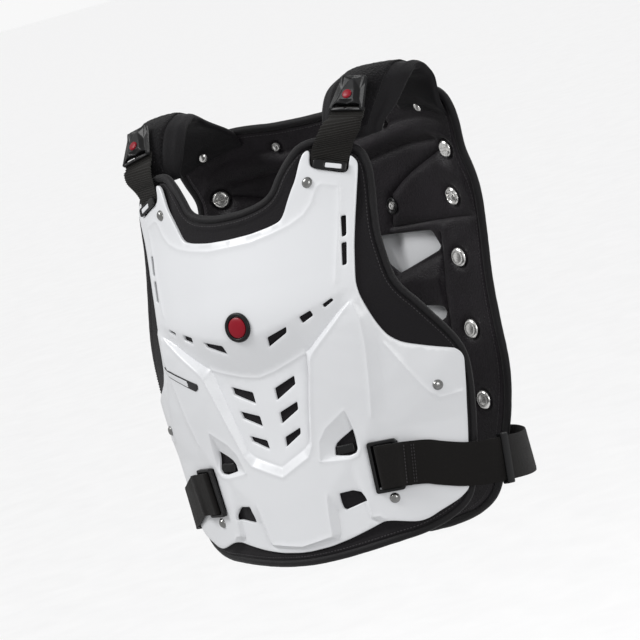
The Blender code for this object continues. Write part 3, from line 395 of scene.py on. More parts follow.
def washerRing(name, surface, centre, inner, outer, heightAt, material, sides=72):
    # a flat ring on a surface; heightAt takes the share across it
    flat, faces, tall = [], [], []
    shares = (0.0, .04, .12, .3, .5, .7, .88, .96, 1.0)
    for share in shares:
        reach = inner + share * (outer - inner)
        flat += [(reach * math.cos(2 * math.pi * n / sides), reach * math.sin(2 * math.pi * n / sides))
                 for n in range(sides)]
        tall += [heightAt(share)] * sides
    for k in range(len(shares) - 1):
        for n in range(sides):
            a, b = k * sides + n, k * sides + (n + 1) % sides
            faces += [(a, a + sides, b + sides), (a, b + sides, b)]
    fore = [surface(centre[0] + u, centre[1] + v, high) for (u, v), high in zip(flat, tall)]
    rear = [surface(centre[0] + u, centre[1] + v, form["gap"]) for u, v in flat]
    return shell(name, np.array(flat), faces, fore, rear, material, halves=False)


def stitches(name, runs, thick=.00044):
    # each stitch is a short rounded thread between two points, laid on its surface
    verts, faces = [], []
    for a, b, up in runs:
        along = b - a
        side = along.cross(up).normalized()
        base = len(verts)
        shares = ((0, .25), (.14, .8), (.5, 1.0), (.86, .8), (1, .25))
        for t, size in shares:
            centre = a + along * t + up * (thick * (size - .55))
            for k in range(6):
                turn = math.pi * k / 3
                verts.append(centre + (side * math.cos(turn) + up * math.sin(turn)) * thick * size)
        for k in range(len(shares) - 1):
            for n in range(6):
                p, q = base + k * 6 + n, base + k * 6 + (n + 1) % 6
                faces.append((p, q, q + 6, p + 6))
        faces.append(tuple(base + n for n in reversed(range(6))))
        faces.append(tuple(base + 24 + n for n in range(6)))
    return facedOut(meshPiece(name, verts, faces, shades["thread"], 180))


def stitchLine(line, surface, out, length=.0024, pitch=.0036):
    # stitches along a flat line, both halves of it
    travel, runs = 0.0, []
    spots = dense(line, .0006)
    walk = [0.0]
    for p, q in zip(spots, spots[1:]):
        walk.append(walk[-1] + math.dist(p, q))
    while travel + length < walk[-1]:
        ends = []
        for place in (travel, travel + length):
            n = int(np.searchsorted(walk, place))
            ends.append(spots[min(n, len(spots) - 1)])
        for side in (1, -1):
            (s0, z0), (s1, z1) = ends
            a, b = surface(side * s0, z0, out), surface(side * s1, z1, out)
            runs.append((a, b, (surface(side * s0, z0, out + .001) - a).normalized()))
        travel += pitch
    return runs


# materials
def nodeTree(tree):
    def add(kind, **inputs):
        node = tree.nodes.new(kind)
        for key, value in inputs.items():
            if key in node.inputs:
                node.inputs[key].default_value = value
            else:
                setattr(node, key, value)
        return node
    return add, tree.links.new


def newGroup(name, inputs, outputs):
    group = bpy.data.node_groups.new(name, "ShaderNodeTree")
    for label, kind, value in inputs:
        socket = group.interface.new_socket(label, in_out="INPUT", socket_type=kind)
        if value is not None:
            socket.default_value = value
    for label, kind in outputs:
        group.interface.new_socket(label, in_out="OUTPUT", socket_type=kind)
    return group, group.nodes.new("NodeGroupInput"), group.nodes.new("NodeGroupOutput")


def knitGroup():
    # fine knit: small loops with painted shade in the hollows between them, soft blotches and a little lint
    group, given, result = newGroup(
        "knitCloth",
        [("Colour", "NodeSocketColor", (0.03, 0.03, 0.03, 1)), ("Scale", "NodeSocketFloat", 900.0),
         ("BlotchAndLoopShade", "NodeSocketFloat", 0.25), ("Lint", "NodeSocketFloat", 0.1),
         ("Roughness", "NodeSocketFloat", 0.8)],
        [("Colour", "NodeSocketColor"), ("Roughness", "NodeSocketFloat"), ("Height", "NodeSocketFloat")],
    )
    add, link = nodeTree(group)
    coord = add("ShaderNodeTexCoord")
    loops = add("ShaderNodeTexVoronoi")
    link(coord.outputs["Object"], loops.inputs["Vector"])
    link(given.outputs["Scale"], loops.inputs["Scale"])
    blotch = add("ShaderNodeTexNoise", Scale=26.0, Detail=4.0, Roughness=0.6)
    link(coord.outputs["Object"], blotch.inputs["Vector"])
    lint = add("ShaderNodeTexNoise", Scale=420.0, Detail=2.0)
    link(coord.outputs["Object"], lint.inputs["Vector"])
    mottled = add("ShaderNodeMapRange")
    mottled.inputs["From Min"].default_value = 0.3
    mottled.inputs["From Max"].default_value = 0.7
    mottled.inputs["To Min"].default_value = 0.75
    mottled.inputs["To Max"].default_value = 1.3
    link(blotch.outputs["Fac"], mottled.inputs["Value"])
    # painted shade: the colour darkens towards the gaps between loops, where the height sinks
    paintedLoopShade = add("ShaderNodeMath", operation="MULTIPLY_ADD")
    link(loops.outputs["Distance"], paintedLoopShade.inputs[0])
    paintedLoopShade.inputs[1].default_value = -0.7
    paintedLoopShade.inputs[2].default_value = 1.25
    mixed = add("ShaderNodeMath", operation="MULTIPLY")
    link(paintedLoopShade.outputs[0], mixed.inputs[0])
    link(mottled.outputs[0], mixed.inputs[1])
    # this factor weights both the blotches and the painted shade between loops
    level = add("ShaderNodeMix", data_type="FLOAT")
    link(given.outputs["BlotchAndLoopShade"], level.inputs[0])
    level.inputs[2].default_value = 1.0
    link(mixed.outputs[0], level.inputs[3])
    scaled = add("ShaderNodeVectorMath", operation="SCALE")
    link(given.outputs["Colour"], scaled.inputs[0])
    link(level.outputs[0], scaled.inputs["Scale"])
    fleck = add("ShaderNodeMapRange")
    fleck.inputs["From Min"].default_value = 0.66
    fleck.inputs["From Max"].default_value = 0.80
    link(lint.outputs["Fac"], fleck.inputs["Value"])
    linted = add("ShaderNodeMath", operation="MULTIPLY")
    link(fleck.outputs[0], linted.inputs[0])
    link(given.outputs["Lint"], linted.inputs[1])
    colour = add("ShaderNodeMix", data_type="RGBA")
    link(linted.outputs[0], colour.inputs[0])
    link(scaled.outputs[0], colour.inputs[6])
    colour.inputs[7].default_value = (0.07, 0.068, 0.07, 1)
    link(colour.outputs[2], result.inputs["Colour"])
    uneven = add("ShaderNodeMapRange")
    uneven.inputs["To Min"].default_value = 0.80
    uneven.inputs["To Max"].default_value = 1.20
    link(blotch.outputs["Fac"], uneven.inputs["Value"])
    rough = add("ShaderNodeMath", operation="MULTIPLY", use_clamp=True)
    link(uneven.outputs[0], rough.inputs[0])
    link(given.outputs["Roughness"], rough.inputs[1])
    link(rough.outputs[0], result.inputs["Roughness"])
    height = add("ShaderNodeMath", operation="MULTIPLY_ADD")
    link(loops.outputs["Distance"], height.inputs[0])
    height.inputs[1].default_value = -1.0
    link(lint.outputs["Fac"], height.inputs[2])
    link(height.outputs[0], result.inputs["Height"])
    return group


def mouldedGroup():
    # moulded plastic: faint flow marks, fine grain and light handling scuffs
    group, given, result = newGroup(
        "mouldedSkin",
        [("Colour", "NodeSocketColor", (0.8, 0.8, 0.8, 1)), ("Roughness", "NodeSocketFloat", 0.35),
         ("Grain", "NodeSocketFloat", 500.0), ("Scuff", "NodeSocketFloat", 0.2)],
        [("Colour", "NodeSocketColor"), ("Roughness", "NodeSocketFloat"), ("Height", "NodeSocketFloat")],
    )
    add, link = nodeTree(group)
    coord = add("ShaderNodeTexCoord")
    flow = add("ShaderNodeTexNoise", Scale=9.0, Detail=3.0, Distortion=0.4)
    link(coord.outputs["Object"], flow.inputs["Vector"])
    grain = add("ShaderNodeTexNoise", Detail=2.0)
    link(coord.outputs["Object"], grain.inputs["Vector"])
    link(given.outputs["Grain"], grain.inputs["Scale"])
    stretch = add("ShaderNodeMapping")
    stretch.inputs["Scale"].default_value = (60, 60, 900)
    stretch.inputs["Rotation"].default_value = (0.3, 0.5, 0.2)
    link(coord.outputs["Object"], stretch.inputs["Vector"])
    scratch = add("ShaderNodeTexNoise", Scale=1.0, Detail=1.0)
    link(stretch.outputs[0], scratch.inputs["Vector"])
    thin = add("ShaderNodeMapRange")
    thin.inputs["From Min"].default_value = 0.68
    thin.inputs["From Max"].default_value = 0.76
    link(scratch.outputs["Fac"], thin.inputs["Value"])
    scuffed = add("ShaderNodeMath", operation="MULTIPLY")
    link(thin.outputs[0], scuffed.inputs[0])
    link(given.outputs["Scuff"], scuffed.inputs[1])
    tint = add("ShaderNodeMapRange")
    tint.inputs["To Min"].default_value = 0.965
    tint.inputs["To Max"].default_value = 1.035
    link(flow.outputs["Fac"], tint.inputs["Value"])
    scaled = add("ShaderNodeVectorMath", operation="SCALE")
    link(given.outputs["Colour"], scaled.inputs[0])
    link(tint.outputs[0], scaled.inputs["Scale"])
    link(scaled.outputs[0], result.inputs["Colour"])
    varied = add("ShaderNodeMath", operation="MULTIPLY_ADD")
    link(flow.outputs["Fac"], varied.inputs[0])
    varied.inputs[1].default_value = 0.10
    link(given.outputs["Roughness"], varied.inputs[2])
    rough = add("ShaderNodeMath", operation="MULTIPLY_ADD", use_clamp=True)
    link(scuffed.outputs[0], rough.inputs[0])
    rough.inputs[1].default_value = 0.25
    link(varied.outputs[0], rough.inputs[2])
    link(rough.outputs[0], result.inputs["Roughness"])
    height = add("ShaderNodeMath", operation="SUBTRACT")
    link(grain.outputs["Fac"], height.inputs[0])
    link(scuffed.outputs[0], height.inputs[1])
    link(height.outputs[0], result.inputs["Height"])
    return group


knitCloth, mouldedSkin = knitGroup(), mouldedGroup()


def finished(name, group, bump, reach, values, sockets):
    # one Principled material fed by a group, with its own values
    made = bpy.data.materials.new(name)
    made.use_nodes = True
    add, link = nodeTree(made.node_tree)
    shader = made.node_tree.nodes["Principled BSDF"]
    placed = add("ShaderNodeGroup")
    placed.node_tree = group
    for key, value in values.items():
        placed.inputs[key].default_value = value
    link(placed.outputs["Colour"], shader.inputs["Base Color"])
    link(placed.outputs["Roughness"], shader.inputs["Roughness"])
    relieved = add("ShaderNodeBump", Strength=bump, Distance=reach)
    link(placed.outputs["Height"], relieved.inputs["Height"])
    link(relieved.outputs["Normal"], shader.inputs["Normal"])
    for key, value in sockets.items():
        shader.inputs[key].default_value = value
    return made


def cloth(name, colour, scale, bump, blotch=0.5, lint=0.1, sheen=0.06, rough=0.78, shine=0.30):
    # blotch weights both the blotches and the painted shade between knit loops
    return finished(name, knitCloth, bump, 0.0006, {
        "Colour": (*colour, 1), "Scale": scale, "BlotchAndLoopShade": blotch, "Lint": lint, "Roughness": rough,
    }, {"Specular IOR Level": shine, "Sheen Weight": sheen, "Sheen Roughness": 0.45})


def moulded(name, colour, rough, bump=0.06, grain=500.0, scuff=0.2, **sockets):
    return finished(name, mouldedSkin, bump, 0.0003, {
        "Colour": (*colour, 1), "Roughness": rough, "Grain": grain, "Scuff": scuff,
    }, sockets)


shades = {
    "plate": moulded("whitePlastic", (0.745, 0.755, 0.775), 0.30, **{"Coat Weight": 0.2, "Coat Roughness": 0.15}),
    # a lighter copy of the same white plastic: painted light that brightens the back shell where it lies in shade
    "backPlate": moulded("whiteBackPlasticPaintedLight", (0.80, 0.81, 0.83), 0.30),
    "liner": cloth("linerKnit", (0.0085, 0.0075, 0.0090), 1000.0, 0.45, rough=0.66, shine=0.16),
    "backLiner": cloth("backKnit", (0.0105, 0.0082, 0.0108), 850.0, 0.60, blotch=1.0, rough=0.46, shine=0.24),
    "tape": cloth("stretchTape", (0.0100, 0.0094, 0.0105), 1300.0, 0.45, sheen=0.08, rough=0.52, shine=0.18),
    "pad": cloth("padKnit", (0.0080, 0.0074, 0.0086), 1000.0, 0.45, sheen=0.06, rough=0.60, shine=0.16),
    "loops": cloth("loopPile", (0.0070, 0.0065, 0.0074), 520.0, 1.0, blotch=1.0, lint=0.8, sheen=0.08, shine=0.1),
    "webbing": cloth("ribbedWebbing", (0.0185, 0.0175, 0.0160), 1700.0, 0.5, lint=0.15, shine=0.15),
    "elastic": cloth("wovenElastic", (0.0072, 0.0064, 0.0060), 1900.0, 0.5, rough=0.66, shine=0.14),
    "thread": cloth("sewingThread", (0.045, 0.042, 0.045), 2500.0, 0.3, rough=0.55),
    "black": moulded("blackNylon", (0.0060, 0.0060, 0.0066), 0.34, bump=0.15, grain=900.0, scuff=0.5,
                     **{"Specular IOR Level": 0.30}),
    "red": moulded("redPlastic", (0.25, 0.003, 0.013), 0.34, **{"Coat Weight": 0.05, "Specular IOR Level": 0.25}),
    "nickel": moulded("nickelHeads", (0.96, 0.95, 0.93), 0.19, bump=0.05, scuff=0.8, Metallic=0.85),
    "steel": moulded("steelRivets", (0.30, 0.30, 0.295), 0.20, bump=0.05, scuff=0.9, Metallic=1.0),
    "sticker": moulded("plainSticker", (0.010, 0.010, 0.012), 0.30),
    "field": moulded("stickerField", (0.68, 0.69, 0.71), 0.28),
}
print("finishes ready")

# front plate
plate = {
    "step": 0.0036, "lipRadius": 0.0011, "softness": 0.0007, "cornerReach": 0.0016, "edgeReach": 0.006,
    "edge": (
        (0, .215), (.135, .2165), (.195, .22), (.25, .2235), (.305, .23), (.33, .245),
        (.355, .27), (.385, .2975), (.41, .3175), (.435, .3525), (.4525, .372),
        (.47, .3795), (.488, .3805), (.4925, .3725), (.487, .3575), (.49, .3425),
        (.505, .335), (.64, .305), (.66, .3087), (.665, .32), (.674, .34), (.68, .3412),
        (.6975, .329), (.705, .3175), (.6975, .29), (.68, .245), (.665, .1975),
        (.65, .14), (.64, .0825), (.635, .046), (.6375, .029), (.643, .009),
        (.657, -.0215), (.6775, -.061), (.70, -.0925), (.7185, -.11), (.752, -.129),
        (.7875, -.141), (.858, -.161), (.925, -.1795), (.942, -.1845), (.9585, -.1975),
        (.9635, -.2125), (.96, -.225), (.945, -.27), (.928, -.319), (.913, -.3675),
        (.895, -.42), (.855, -.529), (.842, -.5375), (.8085, -.55), (.765, -.5585),
        (.72, -.566), (.67, -.5765), (.625, -.5785), (.5825, -.573), (.505, -.56),
        (.4715, -.558), (.445, -.5615), (.39, -.5695), (.277, -.584), (.1585, -.595),
        (.035, -.60), (0, -.60),
    ),
    "cuts": {
        "chestSlotInner": ((.141, -.040), (.264, -.023), (.2545, -.038), (.132, -.065)),
        "chestSlotMiddle": ((.34, -.007), (.405, .003), (.4125, -.011), (.35, -.024)),
        "chestSlotOuter": ((.4665, .010), (.515, .020), (.525, .014), (.475, .001)),
        "ventTop": ((.0705, -.1745), (.208, -.152), (.2025, -.173), (.068, -.205)),
        "ventMiddle": ((.0635, -.2375), (.187, -.217), (.1805, -.237), (.0605, -.266)),
        "ventBottom": ((.056, -.301), (.1635, -.283), (.1565, -.2985), (.052, -.325)),
        "armSlotTop": ((.601, .206), (.625, .205), (.618, .158), (.597, .156)),
        "armSlotBottom": ((.592, .143), (.616, .142), (.606, .09), (.585, .089)),
        "windowTop": ((.435, -.314), (.4375, -.3625), (.425, -.3725), (.39, -.376),
                      (.3125, -.369), (.319, -.3525), (.333, -.341), (.3645, -.3315)),
        "windowBottom": ((.283, -.464), (.355, -.4635), (.3915, -.472), (.409, -.4855),
                         (.4135, -.4975), (.2925, -.51), (.28, -.5055), (.2775, -.4925)),
        "buckleWindow": ((.487, -.357), (.622, -.366), (.612, -.481), (.477, -.472)),
    },
    # crisp folds: crease, bead height, half width
    "folds": (
        ("recessHigh", .0007, .0013), ("recessLow", -.0006, .0012), ("lip", .0010, .0016),
        ("sideRidge", .0007, .0014), ("wingRidge", .0006, .0014), ("scoopTopHigh", .0005, .0012),
        ("scoopTopLow", -.0004, .0012), ("scoopFootHigh", .0005, .0012), ("scoopFootLow", -.0004, .0012),
        ("keelHigh", .0007, .0013), ("keelLow", -.0006, .0013), ("scoopTopStart", .0004, .0012), ("chestPanel", .0007, .0019),
    ),
    "creases": {  # x, height, relief outward
        "chestFoot": ((0, -.030, 0), (.155, -.020, 0), (.27, -.010, 0), (.355, .0025, 0),
                      (.595, .035, 0), (.70, .045, 0)),
        "chestPanel": ((0, 0.1956, 0), (0.1328, 0.1956, 0), (0.2598, 0.2046, 0), (0.3529, 0.2147, 0), (0.4279, 0.2309, 0), (0.474, 0.2543, 0), (0.508, 0.2889, 0),
                       (0.5332, 0.2939, 0), (0.6098, 0.278, 0), (0.5949, 0.2074, 0), (0.5702, 0.1306, 0), (0.5466, 0.0541, 0)),
        "lip": ((0, -.14, -1.2), (.108, -.131, -1.15), (.235, -.1125, -1.05), (.3125, -.10, -1.0)),
        "recessLow": ((0, -.3725, -.35), (.16, -.3375, -.45), (.195, -.325, -.5), (.2275, -.265, -.65),
                      (.255, -.215, -.8), (.2925, -.1525, -1.0), (.3125, -.10, -1.0), (.34, -.093, -.9),
                      (.395, -.071, -.7), (.46, -.046, -.55), (.525, -.019, -.4), (.597, .003, -.05)),
        "recessHigh": ((0, -.3975, 0), (.18, -.3575, 0), (.214, -.33, 0), (.2515, -.265, 0),
                       (.279, -.215, 0), (.317, -.153, 0), (.3385, -.117, 0), (.3645, -.099, 0),
                       (.4175, -.077, 0), (.479, -.0515, 0), (.541, -.024, 0), (.597, .003, -.05)),
        "sideRidge": ((.6025, -.005, .1), (.6185, -.046, .25), (.613, -.1025, .25), (.598, -.1525, .25),
                      (.5725, -.2265, .25), (.545, -.29, .15)),
        "wingRidge": ((.685, -.119, .1), (.73, -.1785, .25), (.78, -.243, .25), (.8075, -.272, .25),
                      (.838, -.291, .15), (.932, -.293, .1)),
        "flank": ((.66, -.03, 0), (.665, -.10, 0), (.65, -.16, 0), (.63, -.235, 0), (.60, -.30, 0)),
        "wingFoot": ((.72, -.09, 0), (.80, -.13, 0), (.95, -.17, 0), (.99, -.21, 0), (.97, -.31, 0),
                     (.90, -.35, 0), (.78, -.345, 0), (.62, -.33, 0)),
        "scoopTopHigh": ((.4325, -.2625, 0), (.447, -.3145, 0), (.450, -.364, 0), (.43, -.381, 0),
                         (.39, -.3845, 0), (.235, -.375, 0)),
        "scoopTopLow": ((.43, -.3135, -.6), (.3645, -.3315, -.55), (.333, -.341, -.5),
                        (.319, -.3525, -.5), (.3125, -.369, -.4)),
        "scoopTopStart": ((.425, -.26, 0), (.31, -.295, 0), (.26, -.325, 0), (.235, -.375, 0)),
        "keelHigh": ((.22, -.465, 0), (.20, -.52, 0), (.19, -.5675, 0), (0, -.581, 0)),
        "keelLow": ((.2475, -.508, -.4), (.228, -.566, -.4), (.20, -.578, -.4), (0, -.5905, -.4)),
        "scoopFootHigh": ((.4135, -.4975, 0), (.418, -.54, 0), (.455, -.541, 0), (.47, -.55, 0)),
        "scoopFootLow": ((.2925, -.51, -.4), (.395, -.503, -.4), (.40, -.545, -.4), (.44, -.56, -.4)),
    },
}
plateRelief = reliefTree(plate["creases"], form["frontRadius"])


def plateAt(s, z, out=0.0):
    return frontAt(s, z, relief(plateRelief, s, z, plate["softness"]) + out)


def buildPlate():
    radius, step = form["frontRadius"], plate["step"]
    edge = dense(fillet(unroll(plate["edge"], radius), plate["edgeReach"], False), step)
    cuts = [dense(fillet(unroll(cut, radius), plate["cornerReach"], True), step * .7, True)
            for cut in plate["cuts"].values()]
    rims = [edge] + [cut + cut[:1] for cut in cuts]
    lines = [dense(unroll(line, radius), step) for line in plate["creases"].values()]
    folds = {key: dense(unroll(plate["creases"][key], radius), step * .7) for key, _, _ in plate["folds"]}
    for line in folds.values():
        lines += [beside(line, side * width) for side in (-1, 1) for width in (.0010, .0024)]
    for share in (.25, 1.0):
        width = plate["lipRadius"] * share
        lines.append(inset(edge, width))
        grown = [grow(cut, width) for cut in cuts]
        lines += [cut + cut[:1] for cut in grown]
    lines += [cut + cut[:1] for cut in cuts]
    flat, faces = net(edge, lines, step)
    flat, faces = choose(flat, faces, edge, cuts)
    fall = lip(nearLines(flat, rims), plate["lipRadius"])
    inward = np.clip((nearLines(flat, rims) - .001) / .002, 0, 1)
    for key, height, width in plate["folds"]:
        fall -= inward * groove(nearLines(flat, [folds[key]]), height, width)
    fore = [plateAt(s, z, -drop) for (s, z), drop in zip(flat, fall)]
    rear = [plateAt(s, z, -form["plateWall"]) for s, z in flat]
    made = shell("frontPlate", flat, faces, fore, rear, shades["plate"], sharp=55)
    return finishPiece(made, "front_plate")


buildPlate()
print("front plate ready")

# front liner and its binding
liner = {
    "step": 0.0042, "edgeReach": 0.010, "seam": 0.0085, "seamDepth": 0.0016, "edgeFall": 0.0022,
    "puff": 0.0010, "tuck": 0.0016, "stitchIn": 0.0022, "notch": (.585, .35), "notchReach": 0.024, "notchDepth": 0.0045,
    "loop": (.55, -.42), "loopReach": 0.022, "loopDepth": 0.0030,
    "edge": (
        (0, .28), (.07, .28), (.135, .2838), (.195, .29), (.24, .2988), (.2725, .3137),
        (.3, .3387), (.3475, .37), (.4025, .3975), (.44, .4075), (.485, .4113),
        (.54, .41), (.61, .395), (.68, .3775), (.72, .3625), (.745, .3425),
        (.7625, .3075), (.7625, .2625), (.7575, .2), (.76, .15), (.775, .1),
        (.7975, .0375), (.825, 0), (.87, -.04), (.905, -.08), (.94, -.12),
        (.97, -.1625), (.985, -.2), (.985, -.2375), (.975, -.2875), (.9575, -.35),
        (.9375, -.4125), (.91, -.48), (.8825, -.535), (.85, -.5675), (.79, -.59),
        (.715, -.605), (.625, -.615), (.525, -.6188), (.44, -.6225), (.335, -.6275),
        (.225, -.6325), (.105, -.6362), (0, -.6375),
    ),
    "channels": (-.46, -.34, -.22, -.10, .02, .14),
}


def linerSink(s, z):
    radius = form["frontRadius"]
    sink = 0.0
    for key in ("notch", "loop"):
        (s0, z0), = unroll((liner[key],), radius)
        near = 2 - math.hypot(s - s0, (z - z0) * 0.6) / liner[key + "Reach"]
        sink += min(max(near, 0.0), 1.0) * liner[key + "Depth"]
    return sink


def buildLiner():
    radius, step = form["frontRadius"], liner["step"]
    whole = fillet(unroll(liner["edge"], radius), liner["edgeReach"], False)
    edge = dense(inset(whole, 2 * form["tapeRadius"] - liner["tuck"]), step)
    seam = liner["seam"]
    lines = [inset(edge, width) for width in (.0012, .003, seam - .0016, seam, seam + .0016)]
    lines += [dense(unroll(line, radius), step) for line in plate["creases"].values()]
    flat, faces = net(edge, lines, step)
    gaps = nearLines(flat, [edge])
    shaped = -groove(gaps, liner["seamDepth"], .0013) - liner["edgeFall"] * np.exp(-(gaps / .0022))
    shaped += liner["puff"] * np.sin(np.clip(gaps / seam, 0, 1) * math.pi)
    base = form["plateWall"] + form["gap"]
    fore, rear = [], []
    for (s, z), shape, gap in zip(flat, shaped, gaps):
        settled = min(gap / .0065, 1.0) ** 2 * (3 - 2 * min(gap / .0065, 1.0))
        dent = relief(plateRelief, s, z, .004) * settled - linerSink(s, z) - base
        share = (z - form["badgeHeight"]) / form["tall"]
        ribs = sum(math.exp(-((share - at) / .006) ** 2) for at in liner["channels"]) * .0016
        ribs *= min(max((gap - .012) / .01, 0), 1)
        fore.append(frontAt(s, z, dent + shape))
        rear.append(frontAt(s, z, dent - form["frontPad"] - shape * .6 + ribs))
    made = finishPiece(shell("frontLiner", flat, faces, fore, rear, shades["liner"], sharp=60),
                       "front_liner")
    return whole


def tapeRun(name, whole, surface, middle, node):
    # a stretched tape rolled over the edge, a little uneven as sewn
    radius = form["tapeRadius"]
    half = dense(inset(whole, radius), .0035)
    run = half + [(-s, z) for s, z in reversed(half[1:-1])]
    points = [surface(s, z, middle) for s, z in run]
    count = len(points)
    rings = []
    for n, p in enumerate(points):
        along = (points[(n + 1) % count] - points[n - 1]).normalized()
        up = (surface(run[n][0], run[n][1], middle + .001) - p).normalized()
        side = along.cross(up).normalized()
        uneven = 1 + .035 * noise.noise(p * 140) + .02 * noise.noise(p * 420)
        ring = []
        for k in range(16):
            turn = 2 * math.pi * k / 16
            wide = radius * uneven * (1 + .05 * math.cos(2 * turn))
            ring.append(p + side * math.cos(turn) * wide + up * math.sin(turn) * radius * uneven)
        rings.append(ring)
    made = loft(name, rings, shades["tape"], closed=True, sharp=180)
    bpy.context.view_layer.update()
    return finishPiece(made, node)


def sewLiner(whole, made):
    # the tape's seam, on the outer face of the liner
    edge = dense(inset(whole, 2 * form["tapeRadius"] + liner["stitchIn"]), .0012)
    tree = BVHTree.FromObject(made, bpy.context.evaluated_depsgraph_get())
    runs = []
    for a, b, up in stitchLine(edge, frontAt, -form["plateWall"]):
        low, high = (tree.ray_cast(p + up * .012, -up)[0] for p in (a, b))
        if low and high:
            runs.append((low, high, up))
    finishPiece(stitches("linerStitches", runs), None)


linerWhole = buildLiner()
sewLiner(linerWhole, bpy.data.objects["frontLiner"])
tapeRun("frontBinding", linerWhole, frontAt, -form["plateWall"] - form["gap"] - .5 * form["frontPad"],
        "front_binding")
print("front liner and binding ready")

# badge, rivets, sticker
heads = {
    "badgeRadius": 0.0150, "discRadius": 0.0105, "rivetRadius": 0.0053, "rivetHeight": 0.0030,
    "rivets": {"shoulder_rivet": (.469, .305), "side_rivet": (.843, -.259), "lower_rivet": (.545, -.505)},
    "sticker": ((.655, -.0755), (.391, -.128), (.395, -.140), (.418, -.1465), (.651, -.095)),
    "stickerWall": 0.0007,
}


def domeHeight(radius, height, brim=0.0, brimWall=0.0008):
    def at(u, v):
        reach = math.hypot(u, v) / radius
        inner = 1 - brim
        if reach > inner:
            return brimWall * math.sqrt(max(1 - ((reach - inner) / max(brim, 1e-6)) ** 4, 0)) + form["gap"]
        return form["gap"] + brimWall + (height - brimWall) * math.sqrt(max(1 - (reach / inner) ** 2.4, 0))
    return at


def buildBadge():
    ring = washerRing("badgeRing", plateAt, (0, form["badgeHeight"]), heads["discRadius"] + form["gap"],
                      heads["badgeRadius"], lambda share: .0012 + .0020 * math.sqrt(1 - (2 * share - 1) ** 4),
                      shades["black"])
    finishPiece(ring, "badge_ring")
    radius = heads["discRadius"]
    disc = coin("badgeDisc", plateAt, (0, form["badgeHeight"]), radius,
                domeHeight(radius, .0034, .08, .0022), shades["red"], rings=8, sides=64)
    finishPiece(disc, "badge_disc")


def buildRivets():
    radius = heads["rivetRadius"]
    for node, row in heads["rivets"].items():
        (s, z), = unroll((row,), form["frontRadius"])
        name = node.split("_")[0] + "RivetLeft"
        left = coin(name, plateAt, (s, z), radius, domeHeight(radius, heads["rivetHeight"], .16),
                    shades["steel"], rings=9, sides=40)
        finishPair(left, node)


def buildSticker():
    edge = dense(fillet(unroll(heads["sticker"], form["frontRadius"]), .0016, True), .0015, True)
    inner = grow(edge, -.0012)
    flat, faces = net(edge, [inner + inner[:1]], .0015, halves=False)
    wall = heads["stickerWall"]
    fall = lip(nearLines(flat, [edge + edge[:1]]), wall * .6)
    left = shell("sideSticker", flat, faces,
                 [plateAt(s, z, form["gap"] + wall - drop) for (s, z), drop in zip(flat, fall)],
                 [plateAt(s, z, form["gap"]) for s, z in flat], shades["sticker"], halves=False)
    made = otherSide(left, "sideLabel")
    bpy.data.objects.remove(left)
    made.data.materials.append(shades["field"])
    rims = [[(-s, z) for s, z in edge + edge[:1]]]
    for face in made.data.polygons[:len(faces)]:
        middle = flat[list(faces[face.index])].mean(axis=0) * (-1, 1)
        across = (middle[0] - edge[0][0] * -1) / .035
        face.material_index = int(nearLines(np.array([middle]), rims)[0] > .0011 and abs(across) < 1.2)
    finishPiece(made, "side_label")


buildBadge()
buildRivets()
buildSticker()
print("badge, rivets and sticker ready")

